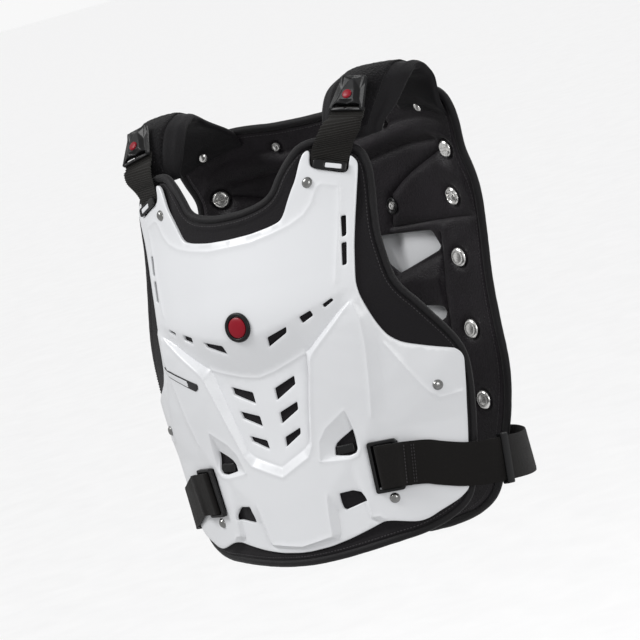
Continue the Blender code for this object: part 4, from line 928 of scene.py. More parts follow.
# back liner, back binding and back shell
back = {
    "step": 0.0042, "edgeReach": 0.010, "softness": 0.0030, "cutReach": 0.004, "edgeFall": 0.0020,
    "washer": (.25, .146, .0050, .0088), "seam": 0.0085, "seamDepth": 0.0014, "tuck": 0.0016, "dimple": 0.0022,
    "edge": (
        (0, .4275), (.14, .4267), (.32, .4308), (.43, .44), (.52, .445), (.7, .445),
        (.84, .43), (.885, .4), (.895, .365), (.885, .325), (.8675, .29), (.862, .265),
        (.87, .24), (.8875, .21), (.9, .1725), (.8975, .125), (.88, .0725),
        (.8525, -.005), (.835, -.055), (.825, -.1075), (.8225, -.16), (.8225, -.2125),
        (.8275, -.2575), (.825, -.295), (.81, -.3425), (.785, -.3825), (.745, -.435),
        (.7, -.48), (.655, -.525), (.605, -.575), (.55, -.6225), (.5, -.6525),
        (.44, -.675), (.36, -.695), (.27, -.71), (.14, -.7238), (0, -.73),
    ),
    "shellEdge": (
        (0, .36), (.30, .362), (.52, .36), (.72, .345), (.79, .315), (.79, .26),
        (.81, .19), (.815, .12), (.775, 0), (.75, -.10), (.745, -.20), (.745, -.28),
        (.70, -.38), (.60, -.50), (.47, -.60), (.30, -.645), (0, -.66),
    ),
    "cuts": {
        "windowHigh": ((.06, .075), (.465, .064), (.512, .02), (.49, .01), (.17, -.035), (.11, -.005)),
        "windowLow": ((.15, -.12), (.4, -.1345), (.455, -.1425), (.444, -.1638), (.3, -.195), (.17, -.175)),
    },
    "creases": {  # x, height, relief toward the body
        "rollCrest": ((0, .295, .62), (.2175, .316, .62), (.3335, .326, .62), (.454, .336, .62),
                      (.5715, .339, .5), (.648, .3365, .5), (.7515, .3195, .5), (.84, .2725, .3)),
        "rollTop": ((0, .325, 0), (.2175, .346, 0), (.454, .366, 0), (.648, .366, 0), (.78, .345, 0)),
        "rollFoot": ((0, .265, 0), (.232, .285, 0), (.422, .298, 0), (.6625, .298, 0)),
        "yoke": ((.205, .0965, 0), (.25, .175, 0), (.34, .2035, 0), (.428, .2245, 0),
                 (.559, .2482, 0), (.665, .266, 0)),
        "yokeCrest": ((.26, .11, .4), (.29, .166, .4), (.44, .212, .4), (.65, .234, .4), (.82, .19, .4)),
        "screwSeat": ((.68, .268, 0), (.71, .291, 0), (.76, .291, 0), (.79, .268, 0),
                      (.76, .244, 0), (.71, .244, 0), (.68, .268, 0)),
        "yokeSeam": ((.205, .0885, -.1), (.48, .0885, -.1), (.635, .0883, -.1), (.85, .087, -.1)),
        "rail": ((.5335, .0535, 0), (.515, 0, 0), (.495, -.0565, 0), (.465, -.1645, 0), (.44, -.30, 0),
                 (.40, -.48, 0)),
        "railCrest": ((.575, .06, .35), (.555, 0, .35), (.535, -.0565, .35), (.505, -.1645, .35),
                      (.48, -.30, .35), (.44, -.47, .35)),
        "barCrest": ((.06, -.06, .5), (.23, -.058, .5), (.48, -.066, .5)),
        "barTop": ((.06, -.03, 0), (.17, -.040, 0), (.49, -.002, 0)),
        "barFoot": ((.06, -.10, 0), (.15, -.115, 0), (.40, -.128, 0)),
        "lumbarCrest": ((0, -.28, .4), (.20, -.28, .4), (.36, -.30, .4)),
        "lumbarTop": ((0, -.235, 0), (.20, -.235, 0), (.40, -.245, 0)),
        "lumbarFoot": ((0, -.33, 0), (.20, -.33, 0), (.38, -.35, 0)),
    },
    # moulded and sewn lines: crease, depth, half width
    "sewn": (
        ("yoke", .0036, .0026), ("yokeSeam", .0026, .0018), ("rail", .0020, .0018), ("rollFoot", .0042, .0042),
        ("rollTop", .0014, .0022), ("screwSeat", .0012, .0018), ("barTop", .0020, .0028),
        ("barFoot", .0020, .0028), ("lumbarTop", .0016, .0025), ("lumbarFoot", .0016, .0025),
    ),
    "shellCreases": {
        "spineHigh": ((.11, .34, 1.0), (.16, .10, 1.0), (.13, -.25, 1.0), (.08, -.52, 1.0), (0, -.56, 1.0)),
        "spineLow": ((.17, .36, 0), (.235, .10, 0), (.205, -.25, 0), (.15, -.53, 0), (0, -.60, 0)),
        "spineTop": ((0, .34, 1.0), (.11, .34, 1.0)),
        "blade": ((.26, .28, .3), (.48, .18, .6), (.60, 0, .6), (.56, -.22, .3)),
    },
    # moulded lines on the shell's outer face: depth, half width, points
    "moulded": (
        (.0014, .0016, ((0, .245), (.10, .235), (.165, .215))), (.0014, .0016, ((0, .125), (.12, .112), (.185, .09))),
        (.0014, .0016, ((0, .005), (.12, -.008), (.18, -.03))), (.0014, .0016, ((0, -.115), (.11, -.128), (.17, -.15))),
        (.0014, .0016, ((0, -.235), (.10, -.248), (.155, -.27))), (.0014, .0016, ((0, -.355), (.08, -.368), (.13, -.39))),
        (.0012, .0020, ((.235, .30), (.285, .10), (.255, -.25), (.20, -.50), (.14, -.59))),
        (.0012, .0020, ((.36, .30), (.60, .235), (.70, .12), (.66, -.05), (.62, -.24), (.50, -.42), (.36, -.54))),
    ),
    "rimLine": (.0100, -.0008, .0016),
    "screws": (
        (.735, .268, .0090, "slot"), (.70, .144, .0098, "ring"), (.25, .146, .0047, "dome"),
        (.645, -.015, .0100, "dome"), (.625, -.203, .0100, "dome"), (.61, -.39, .0100, "dome"),
        (.345, .37, .0047, "dome"),
    ),
}
backRelief = reliefTree(back["creases"], form["backRadius"])
shellRelief = reliefTree(back["shellCreases"], form["backRadius"])


def backInner(s, z, up=0.0):  # the body side of the back liner
    return backAt(s, z, -relief(backRelief, s, z, back["softness"]) - up)


def backOuter(s, z, out=0.0):  # the outer face of the back shell
    wall = form["backPad"] + form["gap"] + form["plateWall"]
    return backAt(s, z, wall + relief(shellRelief, s, z, .006) + out)


def buildBack():
    radius, step = form["backRadius"], back["step"]
    whole = fillet(unroll(back["edge"], radius), back["edgeReach"], False)
    edge = dense(inset(whole, 2 * form["tapeRadius"] - back["tuck"]), step)
    cuts = [dense(fillet(unroll(cut, radius), back["cutReach"], True), step * .7, True)
            for cut in back["cuts"].values()]
    lines = [inset(edge, width) for width in (.0012, .003, back["seam"] - .0016, back["seam"], back["seam"] + .0016)]
    lines += [dense(unroll(line, radius), step) for line in back["creases"].values()]
    for width in (0, .0008, .0026):
        grown = [grow(cut, width) for cut in cuts]
        lines += [cut + cut[:1] for cut in grown]
    for key, _, width in back["sewn"]:
        run = dense(unroll(back["creases"][key], radius), step * .8)
        lines += [beside(run, side * width) for side in (-1, 1)]
    for x, z, head, _ in back["screws"]:
        (s0, z0), = unroll(((x, z),), radius)
        for reach in (head * .9, head, head + .0015, head + .0035):
            turns = [math.pi * k / 12 for k in range(25)]
            lines.append([(s0 + reach * math.cos(turn), z0 + reach * math.sin(turn)) for turn in turns])
    flat, faces = choose(*net(edge, lines, step), edge, cuts)
    toEdge = nearLines(flat, [edge])
    toCut = nearLines(flat, [cut + cut[:1] for cut in cuts])
    fall = back["edgeFall"] * np.exp(-(toEdge / .0022)) + groove(toEdge, back["seamDepth"], .0013)
    fall += lip(toCut, .0026)
    clear = np.clip(toEdge / .012, 0, 1)
    for key, depth, width in back["sewn"]:
        fall += clear * groove(nearLines(flat, [unroll(back["creases"][key], radius)]), depth, width)
    for x, z, head, _ in back["screws"]:
        (s0, z0), = unroll(((x, z),), radius)
        reach = np.hypot(flat[:, 0] - s0, flat[:, 1] - z0)
        fall += groove(np.maximum(reach - head - .0006, 0), back["dimple"], .0026) * (reach > head * .92)
    fore = [backInner(s, z, -drop) for (s, z), drop in zip(flat, fall)]
    rear = [backAt(s, z, form["backPad"] - drop) for (s, z), drop in
            zip(flat, back["edgeFall"] * np.exp(-(toEdge / .0022)))]
    made = finishPiece(shell("backLiner", flat, faces, fore, rear, shades["backLiner"], sharp=60),
                       "back_liner")
    shellEdge = dense(fillet(unroll(back["shellEdge"], radius), .012, False), step)
    lines = [inset(shellEdge, width) for width in (.0003, .0012)]
    lines += [dense(unroll(line, radius), step) for line in back["shellCreases"].values()]
    rimAt, rimDepth, rimWide = back["rimLine"]
    lines += [inset(shellEdge, rimAt + side * rimWide) for side in (-1, 0, 1)]
    runs = [dense(unroll(run, radius), step * .6) for _, _, run in back["moulded"]]
    for run, (_, wide, _) in zip(runs, back["moulded"]):
        lines += [beside(run, side * wide) for side in (-1, 0, 1)]
    flat, faces = net(shellEdge, lines, step)
    toEdge = nearLines(flat, [shellEdge])
    fall = lip(toEdge, .0012) + groove(toEdge - rimAt, rimDepth, rimWide)
    for run, (depth, wide, _) in zip(runs, back["moulded"]):
        fall += groove(nearLines(flat, [run]), depth, wide)
    inner = [backOuter(s, z, -form["plateWall"]) for s, z in flat]
    outer = [backOuter(s, z, -drop) for (s, z), drop in zip(flat, fall)]
    finishPiece(shell("backPlate", flat, faces, inner, outer, shades["backPlate"], sharp=55),
                "back_plate")
    return whole


def washerHeight(radius, height):  # a rolled rim round a nearly flat face
    def at(u, v):
        reach = min(math.hypot(u, v) / radius, 1.0)
        rim = .0009 * math.exp(-((reach - .80) / .10) ** 2)
        face = (height - .0012) * (1 - reach ** 2)
        return form["gap"] + .0009 * math.sqrt(max(1 - reach ** 8, 0)) + rim * math.sqrt(1 - reach ** 12) + face
    return at


def buildScrews():
    for number, (x, z, radius, style) in enumerate(back["screws"], 1):
        (s, z), = unroll(((x, z),), form["backRadius"])
        lines = []
        high = .0026
        if style == "slot":
            wide = .0013
            lines = [[(-radius * .93, k * wide), (radius * .93, k * wide)] for k in (-1.3, -1, 1, 1.3)]
        dome = washerHeight(radius, high)

        def heightAt(u, v, radius=radius, style=style, dome=dome):
            tall = dome(u, v)
            if style == "slot" and abs(v) < .00135 and abs(u) < radius * .95:
                tall = form["gap"] + .0006
            if style == "ring":
                tall -= .0016 * math.exp(-((math.hypot(u, v) / radius - .55) / .1) ** 2)
                if abs(v) < .0011 and math.hypot(u, v) > radius * .5:
                    tall -= .0016
            return tall
        if style == "ring":
            lines = [[(-radius * .95, k), (radius * .95, k)] for k in (-.0013, -.0010, .0010, .0013)]
        left = coin(f"backScrewLeft{number}", backInner, (s, z), radius, heightAt, shades["nickel"],
                    lines=lines, rings=9, sides=40)
        right = otherSide(left, f"backScrewRight{number}")
        finishPiece(left, f"back_screw_l_{number}")
        finishPiece(right, f"back_screw_r_{number}")


def sewBack(whole, made):
    edge = dense(inset(whole, 2 * form["tapeRadius"] + liner["stitchIn"]), .0012)
    tree = BVHTree.FromObject(made, bpy.context.evaluated_depsgraph_get())
    runs = []
    for a, b, up in stitchLine(edge, backInner, 0):
        low, high = (tree.ray_cast(p + up * .012, -up)[0] for p in (a, b))
        if low and high:
            runs.append((low, high, up))
    finishPiece(stitches("backStitches", runs), None)


def buildWasher():
    # a dark cup washer under the small screw
    x, z, inner, outer = back["washer"]
    (s, z), = unroll(((x, z),), form["backRadius"])
    left = washerRing("cupWasherLeft", backInner, (s, z), inner, outer,
                      lambda share: .0008 + .0012 * math.exp(-((share - .72) / .22) ** 2), shades["black"])
    finishPiece(otherSide(left, "cupWasherRight"), None)
    finishPiece(left, None)


backWhole = buildBack()
sewBack(backWhole, bpy.data.objects["backLiner"])
tapeRun("backBinding", backWhole, backAt, .5 * form["backPad"], "back_binding")
buildScrews()
buildWasher()
print("back ready")

# shoulder pads and their loop patches
pad = {
    "wall": 0.011, "patchWall": 0.0013, "parts": 8, "around": 44, "screwRadius": 0.0047,
    # x, y, height of the neck edge, middle and arm edge
    "rows": (
        ((.485, .411, .375), (.635, .381, .370), (.785, .433, .375)),
        ((.475, .407, .398), (.640, .377, .400), (.810, .459, .402)),
        ((.460, .427, .429), (.650, .391, .437), (.840, .516, .428)),
        ((.455, .463, .467), (.665, .427, .472), (.868, .580, .464)),
        ((.460, .518, .503), (.675, .478, .508), (.892, .628, .495)),
        ((.475, .588, .521), (.680, .554, .528), (.898, .680, .514)),
        ((.495, .648, .527), (.690, .624, .534), (.904, .724, .514)),
        ((.520, .712, .516), (.700, .700, .523), (.907, .760, .498)),
        ((.530, .786, .492), (.705, .780, .494), (.905, .796, .465)),
    ),
    # x, height of the neck edge, middle and arm edge, clearance
    "tail": (
        (.525, .453, .710, .440, .895, .407, .0018),
        (.515, .422, .710, .405, .885, .373, .0007),
        (.515, .396, .710, .381, .875, .354, .0007),
    ),
    "edgeLift": 0.0010, "thinning": 18, "tailShare": 0.12,
    # sewn lines across the pad: place, depth, width
    "seams": ((.74, .0021, .032), (.66, .0009, .020), (-.80, .0014, .030), (.88, -.0012, .07)),
}


def padRuns():
    # neck edge, middle and arm edge as smooth runs
    rows = [[spot(p) for p in row] for row in pad["rows"]]
    for x0, z0, x1, z1, x2, z2, clear in pad["tail"]:
        (a, b, c) = unroll(((x0, z0), (x1, z1), (x2, z2)), form["backRadius"])
        rows.append([backInner(*a, clear), backInner(*b, clear), backInner(*c, clear + pad["edgeLift"])])
    return [curveThrough([row[k] for row in rows], pad["parts"]) for k in range(3)]


padNeck, padMiddle, padArm = padRuns()


def padAt(n, side, out):
    low, high = max(n - 1, 0), min(n + 1, len(padMiddle) - 1)
    neck, middle, arm = padNeck[n], padMiddle[n], padArm[n]
    up = (arm - neck).cross(padMiddle[high] - padMiddle[low]).normalized()
    return neck * (side * (side - 1) / 2) + middle * (1 - side * side) + arm * (side * (side + 1) / 2) + up * out


def buildPads():
    wall = pad["wall"]
    rings = []
    last = len(padMiddle) - 1
    for n in range(last + 1):
        ring = []
        front = min(1.0, .30 + .70 * math.sqrt(max(1 - (1 - n / 5) ** 2, 0))) if n < 5 else 1.0
        left = min((last - n) / pad["thinning"], 1.0)
        tail = pad["tailShare"] + (1 - pad["tailShare"]) * left * left * (3 - 2 * left)
        for k in range(pad["around"]):
            turn = 2 * math.pi * k / pad["around"]
            c, s = math.cos(turn), math.sin(turn)
            side = math.copysign(abs(c) ** .55, c)
            high = math.copysign(abs(s) ** .55, s)
            out = -wall / 2 + wall / 2 * high * front
            out *= tail
            if s > 0:
                for at, depth, width in pad["seams"]:
                    out -= depth * tail * math.exp(-((side - at) / width) ** 2)
            else:
                folds = math.sin(n * .55 + side * 2.2) * math.exp(-(((n / last) - .62) / .16) ** 2)
                out -= .0006 * folds * tail
            ring.append(padAt(n, side * (1 if s > 0 else .96), out))
        rings.append(ring)
    left = loft("shoulderPadLeft", rings, shades["pad"], sharp=180)
    left, right = finishPair(left, "shoulder_pad")


def buildPatch():
    wall, gap = pad["patchWall"], form["gap"]
    first, last = pad["parts"], 7 * pad["parts"]
    high, low, flat = [], [], []
    sides = np.linspace(-.6, .6, 25)
    rows = list(range(first, last + 1))
    for i, n in enumerate(rows):
        for j, side in enumerate(sides):
            rim = min(i, len(rows) - 1 - i, j, len(sides) - 1 - j)
            fuzz = .0004 * noise.noise(padAt(n, side, 0) * 900) + .0005 * noise.noise(padAt(n, side, 0) * 260)
            high.append(padAt(n, side, gap + (wall + fuzz if rim else wall * .4)))
            low.append(padAt(n, side, gap))
            flat.append((side, n))
    faces = []
    wide = len(sides)
    for i in range(len(rows) - 1):
        for j in range(wide - 1):
            a = i * wide + j
            faces += [(a, a + 1, a + wide + 1), (a, a + wide + 1, a + wide)]
    left = shell("loopPatchLeft", np.array(flat), faces, high, low, shades["loops"], halves=False, sharp=180)
    left, right = finishPair(left, "loop_patch")


def buildPadScrew():
    n = 10 * pad["parts"]
    middle = padAt(n, .08, -pad["wall"])
    across = (padAt(n, .3, -pad["wall"]) - padAt(n, -.1, -pad["wall"])).normalized()
    up = (padAt(n - 4, .08, -pad["wall"]) - middle).normalized()
    away = across.cross(up).normalized()
    left = coin("padScrewLeft", lambda u, v, out: middle + across * u + up * v + away * (out + .0004), (0, 0),
                pad["screwRadius"], domeHeight(pad["screwRadius"], .0026, .16, .0010), shades["nickel"],
                rings=8, sides=32)
    finishPair(left, "pad_screw")


buildPads()
buildPatch()
buildPadScrew()
print("pads ready")

# shoulder buckles
buckle = {
    "wide": 0.040, "tall": 0.040, "wall": 0.0030, "step": 0.0009, "discRadius": 0.0050, "discAt": 0.40,
    "foot": ((.575, .362, .452), (.772, .376, .440)), "head": (.700, .478, .522),
    "edge": ((0, 0), (.46, 0), (.50, .05), (.36, .95), (.31, 1.0), (0, 1.0)),
    "hole": ((-.38, .07), (.38, .07), (.37, .17), (-.37, .17)),
    # across, up, height as a share of the wall
    "heights": (
        (0, 0, 1.0), (.5, 0, 1.0), (.5, 1.0, 1.4), (0, 1.0, 1.4), (.40, .05, 1.0), (.27, .95, 1.5),
        (.44, .05, 1.9), (.31, .95, 2.0), (.34, .21, 1.2), (0, .21, 1.2), (.22, .26, 2.4), (0, .26, 2.4),
        (.17, .54, 2.4), (0, .54, 2.4), (.05, .84, 2.0), (0, .86, 2.0), (.08, .90, 1.0), (0, .92, 1.0),
        (.26, .58, 1.0), (.32, .28, 1.0),
    ),
    "discHeight": 2.4,
}
buckleFoot = (spot(buckle["foot"][0]) + spot(buckle["foot"][1])) / 2
buckleUp = (spot(buckle["head"]) - buckleFoot).normalized()
buckleAcross = (spot(buckle["foot"][1]) - spot(buckle["foot"][0])).normalized()
buckleOut = buckleAcross.cross(buckleUp).normalized()
buckleAcross = buckleUp.cross(buckleOut).normalized()


def onBuckle(u, v, out):  # metres across and up from the foot
    return buckleFoot + buckleAcross * u + buckleUp * v + buckleOut * out


def buildShoulderBuckle():
    wide, tall, wall, step = (buckle[key] for key in ("wide", "tall", "wall", "step"))
    half = [(u * wide, v * tall) for u, v in buckle["edge"]]
    loop = half + [(-u, v) for u, v in reversed(half[1:-1])]
    loop = dense(fillet(loop, .0016, True), step * 1.4, True)
    hole = dense(fillet([(u * wide, v * tall) for u, v in buckle["hole"]], .0009, True), step * 1.2, True)
    points = [Vector((row[0] * wide, row[1] * tall)) for row in buckle["heights"]]
    made = delaunay_2d_cdt(points, [], [], 0, 1e-6)
    tree = BVHTree.FromPolygons(
        [Vector((v[0], v[1], buckle["heights"][n[0]][2] * wall)) for v, n in zip(made[0], made[3])],
        [tuple(f) for f in made[2]])

    def heightAt(u, v):
        total = 0.0
        for du, dv in ((0, 0), (.0005, 0), (-.0005, 0), (0, .0005), (0, -.0005)):
            spotUp = Vector((min(abs(u + du), wide * .499), min(max(v + dv, .00002), tall * .999), 1))
            hit = tree.ray_cast(spotUp, Vector((0, 0, -1)))
            total += hit[0].z if hit[0] else wall
        return total / 5
    lines = []
    for width in (.0002, .0008):
        lines += [grow(loop, -width) + grow(loop, -width)[:1], grow(hole, width) + grow(hole, width)[:1]]
    lines.append(hole + hole[:1])
    flat, faces = net(loop, lines, step, halves=False)
    flat, faces = choose(flat, faces, loop, [hole])
    fall = lip(nearLines(flat, [loop + loop[:1], hole + hole[:1]]), .0008)
    left = shell("shoulderBuckleLeft", flat, faces,
                 [onBuckle(u, v, heightAt(u, v) - drop) for (u, v), drop in zip(flat, fall)],
                 [onBuckle(u, v, drop * .6) for (u, v), drop in zip(flat, fall)],
                 shades["black"], halves=False, sharp=35)
    finishPair(left, "shoulder_buckle")
    seat = buckle["discHeight"] * wall
    radius = buckle["discRadius"]
    disc = coin("buckleDiscLeft", lambda u, v, out: onBuckle(u, v + buckle["discAt"] * tall, seat + out),
                (0, 0), radius, domeHeight(radius, .0018, .12, .0010), shades["red"], rings=6, sides=40)
    finishPair(disc, "buckle_disc")


buildShoulderBuckle()
print("shoulder buckles ready")

# shoulder webbing
webbing = {
    "wall": 0.0020, "ribPitch": 0.0026, "ribDepth": 0.00060, "around": 14,
    "top": ((0.15, 0.46, 2.0), (0.0, 0.47, 2.0), (-0.12, 0.48, 2.0)),  # up, half width, layers
    "rows": (
        ((.550, .324, .425), (.760, .358, .417), 2.0),
        ((.525, .286, .400), (.745, .342, .395), 1.6),
        ((.503, .262, .378), (.700, .330, .370), 1.0),
    ),
    # the ring over its lower end: x, height at both ends; sizes across and up
    "ring": (.512, .3440, .652, .3170), "ringHalf": (.0170, .0046), "ringHole": (.0088, .0027), "ringAt": .0036,
    "tuck": (  # x and height of the inner edge, of the outer edge, depth in metres
        (.4985, .357, .683, .352, .0003), (.500, .345, .664, .333, .0008),
        (.512, .3395, .655, .3105, .0033), (.515, .320, .650, .295, .0033), (.518, .290, .645, .278, .0033),
    ),
}


def buildWebbing():
    wall = webbing["wall"]
    rows = []  # inner rear, outer rear, outer fore, inner fore
    wide, tall = buckle["wide"], buckle["tall"]
    for v, u, layers in webbing["top"]:
        rear, fore = -form["gap"] - layers * wall, -form["gap"]
        rows.append([onBuckle(-u * wide, v * tall, rear), onBuckle(u * wide, v * tall, rear),
                     onBuckle(u * wide, v * tall, fore), onBuckle(-u * wide, v * tall, fore)])
    table = webbing["rows"]
    for n, (inner, outer, layers) in enumerate(table):
        a, b = spot(inner), spot(outer)
        along = spot(table[max(n - 1, 0)][0]) - spot(table[min(n + 1, len(table) - 1)][0])
        up = (b - a).cross(along).normalized() * layers * wall
        rows.append([a, b, b + up, a + up])
    for x0, z0, x1, z1, depth in webbing["tuck"]:
        (s0, z0), (s1, z1) = unroll(((x0, z0), (x1, z1)), form["frontRadius"])
        rows.append([plateAt(s0, z0, -depth - wall), plateAt(s1, z1, -depth - wall),
                     plateAt(s1, z1, -depth), plateAt(s0, z0, -depth)])
    runs = [curveThrough([row[k] for row in rows], 24) for k in range(4)]
    rings = []
    travel = 0.0
    for n in range(len(runs[0])):
        innerRear, outerRear, outerFore, innerFore = (run[n] for run in runs)
        if n:
            travel += (runs[2][n] - runs[2][n - 1]).length
        rib = webbing["ribDepth"] * (math.cos(2 * math.pi * travel / webbing["ribPitch"]) - 1)
        up = (outerFore - outerRear).normalized()
        ring = []
        for k in range(webbing["around"]):
            t = k / (webbing["around"] - 1)
            round_ = .0005 * max(0, abs(2 * t - 1) - .9) / .1
            ring.append(innerRear.lerp(outerRear, t) + up * (round_ - rib))
        for k in range(webbing["around"]):
            t = 1 - k / (webbing["around"] - 1)
            round_ = .0005 * max(0, abs(2 * t - 1) - .9) / .1
            ring.append(innerFore.lerp(outerFore, t) + up * (rib - round_))
        rings.append(ring)
    left = loft("shoulderWebbingLeft", rings, shades["webbing"], sharp=80)
    left, right = finishPair(left, "shoulder_webbing")


def holedRing(name, centre, across, up, out, half, shift, hole):
    # a flat ring whose opening lies to one side
    (wide, tall), (holeWide, holeTall) = half, hole
    loop = dense(fillet([(-wide, -tall), (wide, -tall), (wide, tall), (-wide, tall)], .0026, True), .001, True)
    gap = [(shift - holeWide, -holeTall), (shift + holeWide, -holeTall), (shift + holeWide, holeTall),
           (shift - holeWide, holeTall)]
    gap = dense(fillet(gap, .0014, True), .001, True)
    lines = [gap + gap[:1]]
    for width in (.0002, .0008):
        lines += [grow(loop, -width) + grow(loop, -width)[:1], grow(gap, width) + grow(gap, width)[:1]]
    flat, faces = net(loop, lines, .0014, halves=False)
    flat, faces = choose(flat, faces, loop, [gap])
    fall = lip(nearLines(flat, [loop + loop[:1], gap + gap[:1]]), .0009)
    return shell(name, flat, faces,
                 [centre + across * u + up * v + out * (.0022 - drop) for (u, v), drop in zip(flat, fall)],
                 [centre + across * u + up * v for u, v in flat], shades["black"], halves=False, sharp=35)


def buildRing():
    # a black ring over the webbing's fold, with the plate's white tab in it
    x0, z0, x1, z1 = webbing["ring"]
    (s0, z0), (s1, z1) = unroll(((x0, z0), (x1, z1)), form["frontRadius"])
    middle = ((s0 + s1) / 2, (z0 + z1) / 2)
    centre = plateAt(*middle, 0)
    out = (plateAt(*middle, .001) - centre).normalized()
    across = plateAt(s1, z1, 0) - plateAt(s0, z0, 0)
    up = out.cross(across).normalized()
    up = up if up.z > 0 else -up
    across = (across - out * across.dot(out)).normalized()
    (wide, tall), (holeWide, holeTall) = webbing["ringHalf"], webbing["ringHole"]
    shift = webbing["ringAt"]
    left = holedRing("webbingRingLeft", centre + out * .0004, across, up, out, (wide, tall), shift,
                     (holeWide, holeTall))
    centre += across * shift
    finishPiece(otherSide(left, "webbingRingRight"), None)
    finishPiece(left, None)
    loop = [(-holeWide, -holeTall), (holeWide, -holeTall), (holeWide, holeTall), (-holeWide, holeTall)]
    loop = dense(fillet([(u * .96, v * .94) for u, v in loop], .0014, True), .0010, True)
    flat, faces = net(loop, [grow(loop, -.0003) + grow(loop, -.0003)[:1]], .0013, halves=False)
    fall = lip(nearLines(flat, [loop + loop[:1]]), .0006)
    left = shell("plateTabLeft", flat, faces,
                 [centre + across * u + up * v + out * (.0022 - drop) for (u, v), drop in zip(flat, fall)],
                 [centre + across * u + up * v + out * .0002 for u, v in flat], shades["plate"], halves=False)
    finishPiece(otherSide(left, "plateTabRight"), None)
    finishPiece(left, None)


buildWebbing()
print("shoulder webbing ready")

# side elastics, their buckles and keepers
strap = {
    "width": 0.044, "wall": 0.0016, "tongue": 0.0050, "ribPitch": 0.0029, "parts": 12, "around": 32,
    "layers": 1.9, "sewn": 0.0330, "tongueLong": 0.0150, "stitchRows": (1.86, 2.30, 2.42),
    "rows": (  # x, y, height of the middle
        (.520, .0775, -.4195), (.605, .1100, -.4225), (.654, .1265, -.4250), (.725, .1835, -.4360),
        (.780, .2180, -.4500), (.860, .2720, -.4690), (.930, .328, -.4805), (.978, .395, -.4875),
        (.984, .452, -.4940), (.980, .515, -.5010), (.966, .580, -.5080), (.943, .645, -.5140),
        (.908, .712, -.5190), (.858, .778, -.5230), (.790, .843, -.5260), (.705, .897, -.5270),
    ),
    "end": ((.560, -.5240, .0024), (.480, -.5210, .0006), (.420, -.5180, .0003)),
    "buckleWall": 0.0049, "buckleHalf": (0.0150, 0.0262), "buckleHole": (0.0112, 0.0228),
    "keeperLong": 0.0110, "keeperHalf": (0.0038, 0.0255), "keeperHole": (0.0019, 0.0232),
}


def strapFrame(place):
    rows = strap["rows"]
    low = min(int(place), len(rows) - 2)
    t = place - low
    middle = spot(rows[low]).lerp(spot(rows[low + 1]), t)
    first = spot(rows[max(low - (t < 0.5), 0)])
    second = spot(rows[min(low + 1 + (t > 0.5), len(rows) - 1)])
    along = (second - first).normalized()
    out = along.cross(Vector((0, 0, 1))).normalized()
    return middle, along, out, out.cross(along).normalized()


def buildStrap():
    half, wall = strap["width"] / 2, strap["wall"]
    lows, highs, outs = [], [], []
    for place in range(len(strap["rows"])):
        middle, along, out, up = strapFrame(place)
        lows.append(middle - up * half)
        highs.append(middle + up * half)
        outs.append(out)
    for s, z, clear in unroll(strap["end"], form["backRadius"]):
        low, high = backOuter(s, z - half, clear), backOuter(s, z + half, clear)
        lows.append(low)
        highs.append(high)
        outs.append((backOuter(s, z, .01) - backOuter(s, z, 0)).normalized())
    parts = strap["parts"]
    lows, highs = curveThrough(lows, parts), curveThrough(highs, parts)
    outs = [v.normalized() for v in curveThrough(outs, parts)]
    # extra rings shape the nose of the fold
    nose = [.012, .05, .12, .25, .45, .7]
    lows[1:1] = [lows[0].lerp(lows[1], share) for share in nose]
    highs[1:1] = [highs[0].lerp(highs[1], share) for share in nose]
    outs[1:1] = [outs[0] for _ in nose]
    travel, middle = 0.0, None
    rings = []
    around = strap["around"]
    fore = strap["layers"] * wall
    centre, thick = (fore - strap["tongue"]) / 2, (fore + strap["tongue"]) / 2
    for low, high, out in zip(lows, highs, outs):
        here = low.lerp(high, .5)
        travel += (here - middle).length if middle else 0.0
        middle = here
        step = min(max((travel - strap["sewn"]) / .0016, 0), 1)
        top = fore + (wall - fore) * step
        seam = .0006 * math.exp(-((travel - strap["sewn"] + .0032) / .0007) ** 2)
        rear = -strap["tongue"] * (1 - min(max((travel - strap["tongueLong"]) / .003, 0), 1))
        if travel < thick:
            round_ = math.sqrt(max(thick ** 2 - (thick - travel) ** 2, 0))
            rear, top = centre - round_, centre + round_
        ring = []
        for k in range(around):
            t = k / (around - 1)
            rim = max(0, abs(2 * t - 1) - .93) / .07
            ring.append(low.lerp(high, t) + out * (rear + .0003 * rim))
        for k in range(around):
            t = 1 - k / (around - 1)
            rim = max(0, abs(2 * t - 1) - .93) / .07
            rib = .00012 * math.cos(2 * math.pi * t * strap["width"] / strap["ribPitch"])
            ring.append(low.lerp(high, t) + out * (top + rib - seam - .0004 * rim))
        rings.append(ring)
    left = loft("sideStrapLeft", rings, shades["elastic"], sharp=50)
    left, right = finishPair(left, "side_strap")


def frameRing(name, centre, across, up, out, outer, inner, wall, corner, bars=()):
    # a moulded frame of rounded section; bars are (low, high) shares across
    step = .0012

    def rectangle(left, right, half):
        return [(left, -half), (right, -half), (right, half), (left, half)]
    loop = dense(fillet(rectangle(-outer[0], outer[0], outer[1]), corner, True), step, True)
    spans = [-inner[0]] + [value for bar in bars for value in bar] + [inner[0]]
    holes = [dense(fillet(rectangle(a, b, inner[1]), min(corner * .4, .0008), True), step, True)
             for a, b in zip(spans[::2], spans[1::2])]
    rims = [loop + loop[:1]] + [hole + hole[:1] for hole in holes]
    lines = list(rims[1:])
    for width in (.0002, .0009):
        lines.append(grow(loop, -width) + grow(loop, -width)[:1])
        lines += [grow(hole, width) + grow(hole, width)[:1] for hole in holes]
    flat, faces = net(loop, lines, step * 1.3, halves=False)
    flat, faces = choose(flat, faces, loop, holes)
    fall = lip(nearLines(flat, rims), .0009)
    return shell(name, flat, faces,
                 [centre + across * u + up * v + out * (wall - drop) for (u, v), drop in zip(flat, fall)],
                 [centre + across * u + up * v + out * drop for (u, v), drop in zip(flat, fall)],
                 shades["black"], halves=False, sharp=35)


